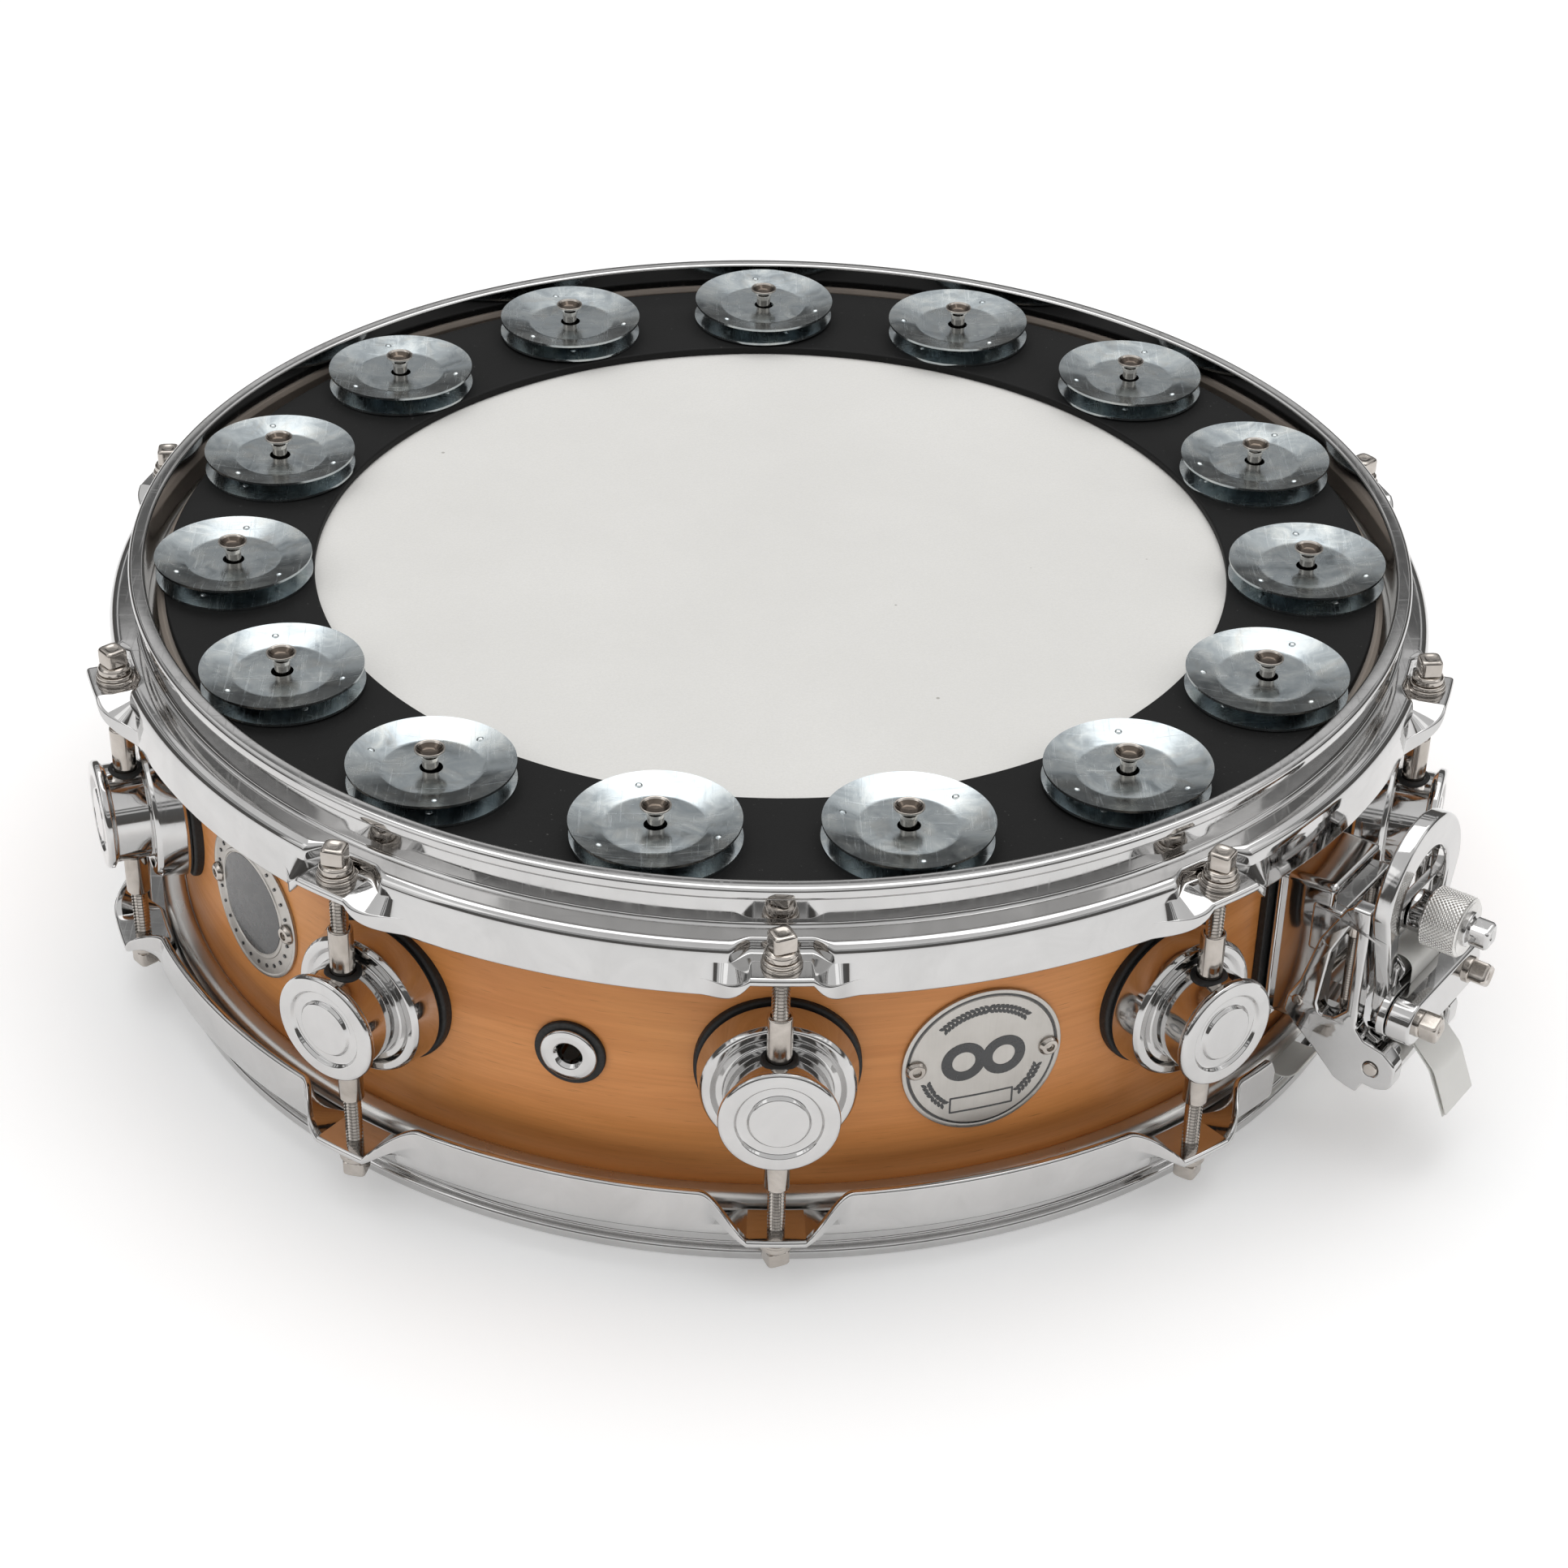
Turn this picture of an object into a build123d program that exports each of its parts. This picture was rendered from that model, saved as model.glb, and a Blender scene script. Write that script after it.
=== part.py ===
"""A 14 inch by 4 inch snare drum with a ring of jingles lying on its batter head.

Millimetres, +Z up. The origin is on the drum's axis, level with the lower rim that it stands on.
Angles are measured from the front (-Y) towards +X.
"""

import os
from math import atan2, cos, degrees, radians, sin

from build123d import *

os.makedirs("parts", exist_ok=True)

# Drum
SHELL_RADIUS = 177.8
SHELL_WALL = 6.5
SHELL_DEPTH = 101.6
RIM_STAND = 9.95
HEIGHT = SHELL_DEPTH + 2 * RIM_STAND
MIDDLE = HEIGHT / 2
SHELL_LOW = RIM_STAND
SHELL_HIGH = HEIGHT - RIM_STAND
HEAD_FILM = 0.3
HEAD_TOP = SHELL_HIGH + HEAD_FILM

# Hoops: sheet metal with a turned rim, a wall, a shoulder and an outer skirt
HOOP_INNER = 181.0
HOOP_SHEET = 2.3
RIM_RADIUS = 185.6
RIM_DEPTH = 3.6
SHOULDER_DEPTH = 13.0
SKIRT_RADIUS = 192.5
SKIRT_DEPTH = 28.5
EAR_DEPTH = 17.0
EAR_REACH = 200.5
EAR_WIDTH = 19.0
EAR_HOLE_RADIUS = 3.5
FLESH_OUTER = 185.0
FLESH_HEIGHT = 6.5

# Lugs and tension rods
LUG_COUNT = 10
ROD_CIRCLE = 193.5
ROD_RADIUS = 2.41
ROD_LENGTH = 37.0
KEY_SQUARE = 6.35
KEY_HEIGHT = 5.0
KEY_CORNER = 1.0
COLLAR_RADIUS = 4.5
COLLAR_HEIGHT = 2.5
WASHER_RADIUS = 5.35
WASHER_HEIGHT = 1.2
NUT_RADIUS = 3.4
NUT_BORE = 2.48
NUT_OUTER_END = 28.0
NUT_INNER_END = 6.0
LUG_SEAT = 179.4
LUG_GASKET_RADIUS = 22.0
LUG_GASKET_DEPTH = 4.0
LUG_THREAD_DEPTH = 6.0
MOUNT_SCREW_RADIUS = 2.5
FIXING_STEP = 13.0
FIXING_HEAD_RADIUS = 4.6
FIXING_HEAD = 3.0

# Badges and vent
BADGE_THICKNESS = 1.0
BADGE_SCREW_RADIUS = 2.9
BADGE_SCREW_HEIGHT = 1.5
VENT_ANGLE = -17.7
VENT_HEIGHT = 58.5
VENT_BORE = 3.2
VENT_TUBE = 5.0
VENT_FLANGE_RADIUS = 8.0
VENT_FLANGE = 1.3
VENT_GASKET = 1.3
VENT_GASKET_RADIUS = 9.8

# Jingle ring
RING_INNER = 133.0
RING_OUTER = 176.0
RING_THICKNESS = 2.5
RING_LOW = HEAD_TOP + 0.05
RING_HIGH = RING_LOW + RING_THICKNESS
JINGLE_COUNT = 15
JINGLE_CIRCLE = 155.7
JINGLE_START = 12.2
JINGLE_STEP = 360 / JINGLE_COUNT
JINGLE_RADIUS = 22.5
JINGLE_FLAT = 13.6
JINGLE_HOLE = 3.5
JINGLE_SHEET = 0.7
JINGLE_RISE = 2.1
JINGLE_GAP = 0.05
RIVET_SHANK = 2.3
RIVET_HEAD = 4.2
RIVET_TOP = HEIGHT + 3.3

# Strainer: (sideways, height, distance from the drum's axis)
STRAINER_ANGLE = 54.0
BUTT_ANGLE = STRAINER_ANGLE - 180
HOUSING_HALF = 14.0
HOUSING_LOW = 34.0
HOUSING_HIGH = 82.0
HOUSING_SEAT = 180.4
HOUSING_FRONT = 197.0
STRAINER_THREAD_DEPTH = 7.0
CHEEK_INNER = 14.6
CHEEK_OUTER = 20.0
PIVOT_HEIGHT = 33.2
PIVOT_OUT = 216.4
PIN_RADIUS = 2.2
LEVER_BACK = 211.2
LEVER_FRONT = 216.4
LEVER_HALF = 21.8
LEVER_TOP = 104.0
WINDOW_HALF = 13.4
WINDOW_TOP = 94.4
WINDOW_LOW = 42.5
BRIDGE_LOW = 70.0
BRIDGE_HIGH = 80.0
BRIDGE_THICKNESS = 3.0
KNOB_HEIGHT = 75.0
KNOB_RADIUS = 8.7
KNOB_BACK = 219.0
KNOB_FRONT = 230.4
CLAMP_HEIGHT = 51.0
CLAMP_HALF = 22.5
CLAMP_RADIUS = 6.7
CLAMP_BACK = 220.1
CLAMP_FRONT = 226.7
CLAMP_SCREW_OFFSET = 15.4
CLAMP_SCREW_RADIUS = 2.0
CLAMP_COLLAR_RADIUS = 3.6
CLAMP_COLLAR = 0.8
CARRIAGE_BACK = 216.8
CARRIAGE_FRONT = 219.3
ROLLER_OUT = 214.5
ROLLER_HEIGHT = 61.0
ROLLER_RADIUS = 3.7
AXLE_RADIUS = 1.5
STRAP_WIDTH = 17.0
STRAP_THICKNESS = 0.5
STRAP_BEND = 3.0
STRAP_GAP = 0.15
BUTT_LOW = 38.0
BUTT_HIGH = 76.0

# Snare wires
WIRE_COUNT = 20
WIRE_PITCH = 2.15
WIRE_RADIUS = 0.95
WIRE_HALF_LENGTH = 148.0
WIRE_HEIGHT = SHELL_LOW - HEAD_FILM - 0.1 - WIRE_RADIUS


def outward(angle, distance=0.0, height=0.0):
    """A plane at the given angle: x runs sideways, y up and z away from the drum's axis."""
    a = radians(angle)
    return Plane(
        origin=(distance * sin(a), -distance * cos(a), height),
        x_dir=(cos(a), sin(a), 0),
        z_dir=(sin(a), -cos(a), 0),
    )


def sideways(angle, offset=0.0):
    """A plane that holds the axis at the given angle: x runs outward, y up, z against sideways."""
    a = radians(angle)
    return Plane(
        origin=(offset * cos(a), offset * sin(a), 0),
        x_dir=(sin(a), -cos(a), 0),
        z_dir=(-cos(a), -sin(a), 0),
    )


def save(built, name):
    built.part.label = name
    export_step(built.part, f"parts/{name}.step")


def turned(points):
    """A body of revolution about Z from a closed outline of (radius, height) points."""
    with BuildPart() as made:
        with BuildSketch(Plane.XZ):
            with BuildLine():
                Polyline(*points, close=True)
            make_face()
        revolve(axis=Axis.Z)
    return made.part


# Shell --------------------------------------------------------------------------------------------
with BuildPart() as shell:
    with BuildSketch(Plane.XZ):
        with BuildLine():
            Polyline(
                (SHELL_RADIUS - SHELL_WALL, SHELL_LOW + 5),
                (SHELL_RADIUS - 1.6, SHELL_LOW),
                (SHELL_RADIUS - 0.4, SHELL_LOW),
                (SHELL_RADIUS, SHELL_LOW + 0.5),
                (SHELL_RADIUS, SHELL_HIGH - 0.5),
                (SHELL_RADIUS - 0.4, SHELL_HIGH),
                (SHELL_RADIUS - 1.6, SHELL_HIGH),
                (SHELL_RADIUS - SHELL_WALL, SHELL_HIGH - 5),
                close=True,
            )
        make_face()
    revolve(axis=Axis.Z)
    for number in range(LUG_COUNT):
        with BuildSketch(outward(360 / LUG_COUNT * number, SHELL_RADIUS + 1, MIDDLE)):
            Circle(MOUNT_SCREW_RADIUS + 0.1)
        extrude(amount=-SHELL_WALL - 3, mode=Mode.SUBTRACT)
    for angle in (STRAINER_ANGLE, BUTT_ANGLE):
        with BuildSketch(outward(angle, SHELL_RADIUS + 1, MIDDLE)):
            with GridLocations(0, 2 * FIXING_STEP, 1, 2):
                Circle(MOUNT_SCREW_RADIUS + 0.1)
        extrude(amount=-SHELL_WALL - 3, mode=Mode.SUBTRACT)
    with BuildSketch(outward(VENT_ANGLE, SHELL_RADIUS + 1, VENT_HEIGHT)):
        Circle(VENT_TUBE + 0.1)
    extrude(amount=-SHELL_WALL - 3, mode=Mode.SUBTRACT)
save(shell, "shell")


# Heads: flat films, each with a collar that runs down into its flesh hoop -------------------------
COLLAR_INNER = SHELL_RADIUS + 0.15
COLLAR_OUTER = COLLAR_INNER + HEAD_FILM
FLESH_HIGH = HEIGHT - SHOULDER_DEPTH - HOOP_SHEET
FLESH_LOW = FLESH_HIGH - FLESH_HEIGHT
FLESH_EDGE = 1.6

batter_film = turned(
    [
        (0, SHELL_HIGH),
        (SHELL_RADIUS - 0.1, SHELL_HIGH),
        (SHELL_RADIUS - 0.1, HEAD_TOP - 0.1),
        (SHELL_RADIUS - 0.2, HEAD_TOP),
        (0, HEAD_TOP),
    ]
)
with BuildPart() as batter_head:
    add(batter_film)
save(batter_head, "batter_head")

with BuildPart() as snare_side_head:
    add(mirror(batter_film, about=Plane.XY.offset(MIDDLE), mode=Mode.PRIVATE))
save(snare_side_head, "snare_side_head")

flesh_hoop = turned(
    [
        (COLLAR_INNER, FLESH_LOW + 1),
        (COLLAR_OUTER + FLESH_EDGE, FLESH_LOW),
        (FLESH_OUTER - FLESH_EDGE, FLESH_LOW),
        (FLESH_OUTER, FLESH_LOW + FLESH_EDGE),
        (FLESH_OUTER, FLESH_HIGH - FLESH_EDGE),
        (FLESH_OUTER - FLESH_EDGE, FLESH_HIGH),
        (COLLAR_OUTER + FLESH_EDGE, FLESH_HIGH),
        (COLLAR_OUTER, FLESH_HIGH - FLESH_EDGE),
        (COLLAR_OUTER, SHELL_HIGH - 0.6),
        (COLLAR_INNER, SHELL_HIGH - 0.3),
    ]
)
with BuildPart() as flesh_hoops:
    add(flesh_hoop)
    add(mirror(flesh_hoop, about=Plane.XY.offset(MIDDLE), mode=Mode.PRIVATE))
save(flesh_hoops, "flesh_hoops")


# Hoops --------------------------------------------------------------------------------------------
WALL_OUTER = HOOP_INNER + HOOP_SHEET
SKIRT_INNER = SKIRT_RADIUS - HOOP_SHEET
LINK_INNER = FLESH_OUTER + 0.7


def hoop_section(depth_points):
    """Turn (radius, depth below the rim) into (radius, height)."""
    return [(radius, HEIGHT - depth) for radius, depth in depth_points]


HOOP_OUTLINE = hoop_section(
    [
        (HOOP_INNER, 0.5),
        (HOOP_INNER + 0.5, 0),
        (RIM_RADIUS - 1, 0),
        (RIM_RADIUS, 1),
        (RIM_RADIUS, RIM_DEPTH - 0.5),
        (RIM_RADIUS - 0.5, RIM_DEPTH),
        (WALL_OUTER, RIM_DEPTH),
        (WALL_OUTER, SHOULDER_DEPTH - 1),
        (WALL_OUTER + 1, SHOULDER_DEPTH),
        (SKIRT_RADIUS - 3, SHOULDER_DEPTH),
        (SKIRT_RADIUS - 0.8, SHOULDER_DEPTH + 1.2),
        (SKIRT_RADIUS - 0.3, SHOULDER_DEPTH + 3.5),
        (SKIRT_RADIUS, SKIRT_DEPTH),
        (SKIRT_INNER, SKIRT_DEPTH),
        (SKIRT_INNER - 0.3, SHOULDER_DEPTH + 4.5),
        (SKIRT_INNER - 1.6, SHOULDER_DEPTH + HOOP_SHEET),
        (HOOP_INNER, SHOULDER_DEPTH + HOOP_SHEET),
    ]
)
EAR_OUTLINE = hoop_section(
    [
        (WALL_OUTER + 1, SHOULDER_DEPTH + 0.4),
        (LINK_INNER + HOOP_SHEET - 0.8, SHOULDER_DEPTH + 0.4),
        (LINK_INNER + HOOP_SHEET, SHOULDER_DEPTH + 1.2),
        (LINK_INNER + HOOP_SHEET, EAR_DEPTH),
        (EAR_REACH - 0.5, EAR_DEPTH),
        (EAR_REACH, EAR_DEPTH + 0.5),
        (EAR_REACH, EAR_DEPTH + HOOP_SHEET - 0.5),
        (EAR_REACH - 0.5, EAR_DEPTH + HOOP_SHEET),
        (LINK_INNER + 0.6, EAR_DEPTH + HOOP_SHEET),
        (LINK_INNER, EAR_DEPTH + HOOP_SHEET - 0.6),
        (LINK_INNER, SHOULDER_DEPTH + HOOP_SHEET),
        (WALL_OUTER + 1, SHOULDER_DEPTH + HOOP_SHEET),
    ]
)

with BuildPart() as plain_hoop:
    add(turned(HOOP_OUTLINE))
    for number in range(LUG_COUNT):
        with BuildSketch(outward(360 / LUG_COUNT * number, LINK_INNER + HOOP_SHEET)):
            with Locations((0, HEIGHT - SKIRT_DEPTH)):
                Rectangle(EAR_WIDTH, 2 * (SKIRT_DEPTH - SHOULDER_DEPTH) + 4)
        extrude(amount=EAR_REACH, mode=Mode.SUBTRACT)

with BuildPart() as hoop_ear:
    with BuildSketch(sideways(0, EAR_WIDTH / 2)):
        with BuildLine():
            Polyline(*EAR_OUTLINE, close=True)
        make_face()
    extrude(amount=EAR_WIDTH)
    with BuildSketch(Plane.XY.offset(HEIGHT)):
        with Locations((0, -ROD_CIRCLE)):
            Circle(EAR_HOLE_RADIUS)
    extrude(amount=-SKIRT_DEPTH, mode=Mode.SUBTRACT)

with BuildPart() as batter_hoop:
    add(plain_hoop.part)
    with PolarLocations(0, LUG_COUNT):
        add(hoop_ear.part)
save(batter_hoop, "batter_hoop")

GATE_HALF = 25.0
GATE_LOW = 5.0
GATE_HIGH = SKIRT_DEPTH + 1
GATE_BACK = HOOP_INNER - 6
with BuildPart() as snare_side_hoop:
    add(mirror(batter_hoop.part, about=Plane.XY.offset(MIDDLE), mode=Mode.PRIVATE))
    for angle in (STRAINER_ANGLE, BUTT_ANGLE):
        with BuildSketch(outward(angle, GATE_BACK)):
            with Locations((0, (GATE_LOW + GATE_HIGH) / 2)):
                Rectangle(2 * GATE_HALF, GATE_HIGH - GATE_LOW)
        extrude(amount=EAR_REACH - GATE_BACK, mode=Mode.SUBTRACT)
save(snare_side_hoop, "snare_side_hoop")


# Lugs: a turned turret on a rubber gasket, with a swivel nut at the top and the bottom ------------
with BuildPart() as lug_gasket:
    with BuildSketch(outward(0, LUG_SEAT, MIDDLE)):
        Circle(LUG_GASKET_RADIUS)
        Circle(MOUNT_SCREW_RADIUS + 0.1, mode=Mode.SUBTRACT)
    extrude(amount=-LUG_GASKET_DEPTH)
    Cylinder(SHELL_RADIUS, 3 * HEIGHT, mode=Mode.SUBTRACT)

with BuildPart() as lug_gaskets:
    with PolarLocations(0, LUG_COUNT):
        add(lug_gasket.part)
save(lug_gaskets, "lug_gaskets")

LUG_FLANGE = 189.4
LUG_FACE = 202.6
BARREL_RADIUS = 14.3
CAP_RADIUS = 15.8
with BuildPart() as lug:
    with BuildSketch(sideways(0)):
        with BuildLine():
            Polyline(
                (LUG_SEAT, MIDDLE),
                (LUG_SEAT, MIDDLE + 20.6),
                (LUG_SEAT + 1, MIDDLE + 21.2),
                (LUG_FLANGE - 0.9, MIDDLE + 20.4),
                (LUG_FLANGE, MIDDLE + 19.6),
                (LUG_FLANGE, MIDDLE + 17.2),
                (LUG_FLANGE - 0.8, MIDDLE + 16.4),
                (LUG_FLANGE - 0.8, MIDDLE + BARREL_RADIUS),
                (LUG_FACE - 3, MIDDLE + BARREL_RADIUS),
                (LUG_FACE - 2.4, MIDDLE + CAP_RADIUS - 0.4),
                (LUG_FACE - 1.8, MIDDLE + CAP_RADIUS),
                (LUG_FACE - 0.7, MIDDLE + CAP_RADIUS),
                (LUG_FACE, MIDDLE + CAP_RADIUS - 0.7),
                (LUG_FACE, MIDDLE + 11.2),
                (LUG_FACE - 0.4, MIDDLE + 10.8),
                (LUG_FACE - 0.4, MIDDLE + 7.9),
                (LUG_FACE, MIDDLE + 7.5),
                (LUG_FACE, MIDDLE),
                close=True,
            )
        make_face()
    revolve(axis=Axis((0, 0, MIDDLE), (0, -1, 0)))
    with Locations((0, -ROD_CIRCLE, MIDDLE)):
        Cylinder(NUT_RADIUS + 0.04, 4 * CAP_RADIUS, mode=Mode.SUBTRACT)
    with BuildSketch(outward(0, LUG_SEAT - 1, MIDDLE)):
        Circle(MOUNT_SCREW_RADIUS + 0.05)
    extrude(amount=LUG_THREAD_DEPTH + 1, mode=Mode.SUBTRACT)

with BuildPart() as lug_casings:
    with PolarLocations(0, LUG_COUNT):
        add(lug.part)
save(lug_casings, "lug_casings")

with BuildPart() as swivel_nut:
    with BuildSketch(Plane.XY.offset(MIDDLE + NUT_INNER_END)):
        with Locations((0, -ROD_CIRCLE)):
            Circle(NUT_RADIUS)
            Circle(NUT_BORE, mode=Mode.SUBTRACT)
    extrude(amount=NUT_OUTER_END - NUT_INNER_END)
    chamfer(swivel_nut.edges().group_by(Axis.Z)[-1], 0.4)
    mirror(about=Plane.XY.offset(MIDDLE))

with BuildPart() as swivel_nuts:
    with PolarLocations(0, LUG_COUNT):
        add(swivel_nut.part)
save(swivel_nuts, "swivel_nuts")

EAR_TOP = HEIGHT - EAR_DEPTH
COLLAR_LOW = EAR_TOP + 2 * WASHER_HEIGHT
COLLAR_HIGH = COLLAR_LOW + COLLAR_HEIGHT
with BuildPart() as tension_rod:
    with BuildSketch(Plane.XY.offset(COLLAR_LOW)):
        with Locations((0, -ROD_CIRCLE)):
            Circle(ROD_RADIUS)
    extrude(amount=-ROD_LENGTH)
    with BuildSketch(Plane.XY.offset(COLLAR_LOW)):
        with Locations((0, -ROD_CIRCLE)):
            Circle(COLLAR_RADIUS)
    extrude(amount=COLLAR_HEIGHT)
    with BuildSketch(Plane.XY.offset(COLLAR_HIGH)):
        with Locations((0, -ROD_CIRCLE)):
            RectangleRounded(KEY_SQUARE, KEY_SQUARE, KEY_CORNER)
    extrude(amount=KEY_HEIGHT)
    chamfer(tension_rod.faces().sort_by(Axis.Z)[-1].edges(), 0.7)
    mirror(about=Plane.XY.offset(MIDDLE))

with BuildPart() as tension_rods:
    with PolarLocations(0, LUG_COUNT):
        add(tension_rod.part)
save(tension_rods, "tension_rods")

with BuildPart() as rod_washer:
    for level in range(2):
        with BuildSketch(Plane.XY.offset(EAR_TOP + level * WASHER_HEIGHT)):
            with Locations((0, -ROD_CIRCLE)):
                Circle(WASHER_RADIUS - 0.3 * level)
                Circle(ROD_RADIUS + 0.1, mode=Mode.SUBTRACT)
        extrude(amount=WASHER_HEIGHT)
    mirror(about=Plane.XY.offset(MIDDLE))

with BuildPart() as rod_washers:
    with PolarLocations(0, LUG_COUNT):
        add(rod_washer.part)
save(rod_washers, "rod_washers")


# Fixing screws, from inside the shell -------------------------------------------------------------
def fixing_screw(angle, height, reach):
    """A pan-head screw whose head bears on the inside of the shell."""
    seat = outward(angle, SHELL_RADIUS - SHELL_WALL - 0.1, height)
    with BuildPart() as made:
        with BuildSketch(seat):
            Circle(FIXING_HEAD_RADIUS)
        extrude(amount=-FIXING_HEAD)
        with BuildSketch(seat):
            Circle(MOUNT_SCREW_RADIUS)
        extrude(amount=reach)
    return made.part


with BuildPart() as mounting_screws:
    for number in range(LUG_COUNT):
        add(fixing_screw(360 / LUG_COUNT * number, MIDDLE, SHELL_WALL + LUG_THREAD_DEPTH))
    for angle in (STRAINER_ANGLE, BUTT_ANGLE):
        for step in (-FIXING_STEP, FIXING_STEP):
            add(fixing_screw(angle, MIDDLE + step, SHELL_WALL + STRAINER_THREAD_DEPTH))
save(mounting_screws, "mounting_screws")


# Badges and vent: plates bent to the shell, each held by two screws -------------------------------
def shell_plate(angle, height, radius, thickness, lift=0.0, hole=0.0):
    """A round plate bent to the shell's curve, with its back `lift` above the shell."""
    with BuildPart() as made:
        Cylinder(SHELL_RADIUS + lift + thickness, 3 * HEIGHT)
        Cylinder(SHELL_RADIUS + lift, 3 * HEIGHT, mode=Mode.SUBTRACT)
        with BuildSketch(outward(angle, SHELL_RADIUS - 10, height)):
            Circle(radius)
            if hole:
                Circle(hole, mode=Mode.SUBTRACT)
        extrude(amount=20, mode=Mode.INTERSECT)
    return made.part


def badge_screw(angle, height, aside):
    """A round-head screw through a badge, off to one side of its centre."""
    lean = degrees(atan2(aside, SHELL_RADIUS))
    with BuildPart() as made:
        with BuildSketch(outward(angle + lean, SHELL_RADIUS + BADGE_THICKNESS + 0.06, height)):
            Circle(BADGE_SCREW_RADIUS)
        extrude(amount=BADGE_SCREW_HEIGHT)
        outermost = made.edges().sort_by(Axis((0, 0, 0), outward(angle + lean).z_dir))[-1]
        fillet(outermost, 1.0)
    return made.part


BADGES = ((17.7, 56.8, 22.5), (-54.15, 59.5, 22.2))
BADGE_SCREW_OFFSET = 18.6
with BuildPart() as shell_badges:
    for angle, height, radius in BADGES:
        add(shell_plate(angle, height, radius, BADGE_THICKNESS, 0.05))
        for aside in (-BADGE_SCREW_OFFSET, BADGE_SCREW_OFFSET):
            add(badge_screw(angle, height, aside))
save(shell_badges, "shell_badges")

with BuildPart() as vent_grommet:
    with BuildSketch(outward(VENT_ANGLE, SHELL_RADIUS - SHELL_WALL, VENT_HEIGHT)):
        Circle(VENT_TUBE)
    extrude(amount=SHELL_WALL + VENT_GASKET + 0.1)
    with BuildSketch(outward(VENT_ANGLE, SHELL_RADIUS + VENT_GASKET + 0.1, VENT_HEIGHT)):
        Circle(VENT_FLANGE_RADIUS)
    extrude(amount=VENT_FLANGE)
    with BuildSketch(outward(VENT_ANGLE, SHELL_RADIUS - SHELL_WALL - 5, VENT_HEIGHT)):
        Circle(VENT_BORE)
    extrude(amount=20, mode=Mode.SUBTRACT)
save(vent_grommet, "vent_grommet")

GASKET_HALF_WIDTH = 18.0
GASKET_MARGIN = 4.0


def strainer_gasket(angle, low, high):
    """A rounded rubber sheet bent to the shell, with two screw holes."""
    with BuildPart() as made:
        Cylinder(HOUSING_SEAT - 0.05, 3 * HEIGHT)
        Cylinder(SHELL_RADIUS + 0.03, 3 * HEIGHT, mode=Mode.SUBTRACT)
        with BuildSketch(outward(angle, SHELL_RADIUS - 10)):
            with Locations((0, (low + high) / 2)):
                RectangleRounded(2 * GASKET_HALF_WIDTH, high - low, 3)
            for step in (-FIXING_STEP, FIXING_STEP):
                with Locations((0, MIDDLE + step)):
                    Circle(MOUNT_SCREW_RADIUS + 0.1, mode=Mode.SUBTRACT)
        extrude(amount=20, mode=Mode.INTERSECT)
    return made.part


with BuildPart() as shell_gaskets:
    add(shell_plate(VENT_ANGLE, VENT_HEIGHT, VENT_GASKET_RADIUS, VENT_GASKET, 0.03, VENT_TUBE + 0.1))
    add(strainer_gasket(STRAINER_ANGLE, HOUSING_LOW - GASKET_MARGIN, HOUSING_HIGH + GASKET_MARGIN))
    add(strainer_gasket(BUTT_ANGLE, BUTT_LOW - 2 * GASKET_MARGIN, BUTT_HIGH + GASKET_MARGIN))
save(shell_gaskets, "shell_gaskets")


# Jingle ring --------------------------------------------------------------------------------------
def round_the_ring(piece):
    """Copies of a piece made at the front, one at each jingle's place."""
    with BuildPart() as made:
        with PolarLocations(0, JINGLE_COUNT, start_angle=JINGLE_START):
            add(piece)
    return made.part


RIVET_SEAT = 0.7
RIVET_FOOT = 4.6
with BuildPart() as rivet_seat:
    with Locations((0, -JINGLE_CIRCLE, RING_LOW)):
        Cylinder(RIVET_FOOT + 0.1, RIVET_SEAT, align=(Align.CENTER, Align.CENTER, Align.MIN))
        Cylinder(RIVET_SHANK + 0.05, RING_THICKNESS, align=(Align.CENTER, Align.CENTER, Align.MIN))

with BuildPart() as jingle_ring:
    with BuildSketch(Plane.XY.offset(RING_LOW)):
        Circle(RING_OUTER)
        Circle(RING_INNER, mode=Mode.SUBTRACT)
    extrude(amount=RING_THICKNESS)
    chamfer(jingle_ring.edges(), 0.4)
    add(round_the_ring(rivet_seat.part), mode=Mode.SUBTRACT)
save(jingle_ring, "jingle_ring")

FLARE_LOW = RIVET_TOP - 4.3
with BuildPart() as rivet:
    with BuildSketch(Plane.XZ):
        with BuildLine():
            Polyline(
                (0, RING_LOW + 0.05),
                (RIVET_FOOT, RING_LOW + 0.05),
                (RIVET_FOOT, RING_LOW + RIVET_SEAT),
                (RIVET_SHANK, RING_LOW + RIVET_SEAT),
                (RIVET_SHANK, FLARE_LOW),
                (RIVET_SHANK + 0.8, FLARE_LOW + 2.2),
                (RIVET_HEAD, RIVET_TOP - 0.5),
                (RIVET_HEAD, RIVET_TOP),
                (RIVET_HEAD - 0.5, RIVET_TOP),
                (RIVET_HEAD - 1.5, RIVET_TOP - 1.1),
                (0, RIVET_TOP - 1.6),
                close=True,
            )
        make_face()
    revolve(axis=Axis.Z)

with BuildPart() as rivet_in_front:
    with Locations((0, -JINGLE_CIRCLE, 0)):
        add(rivet.part)

with BuildPart() as jingle_rivets:
    add(round_the_ring(rivet_in_front.part))
save(jingle_rivets, "jingle_rivets")

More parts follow.
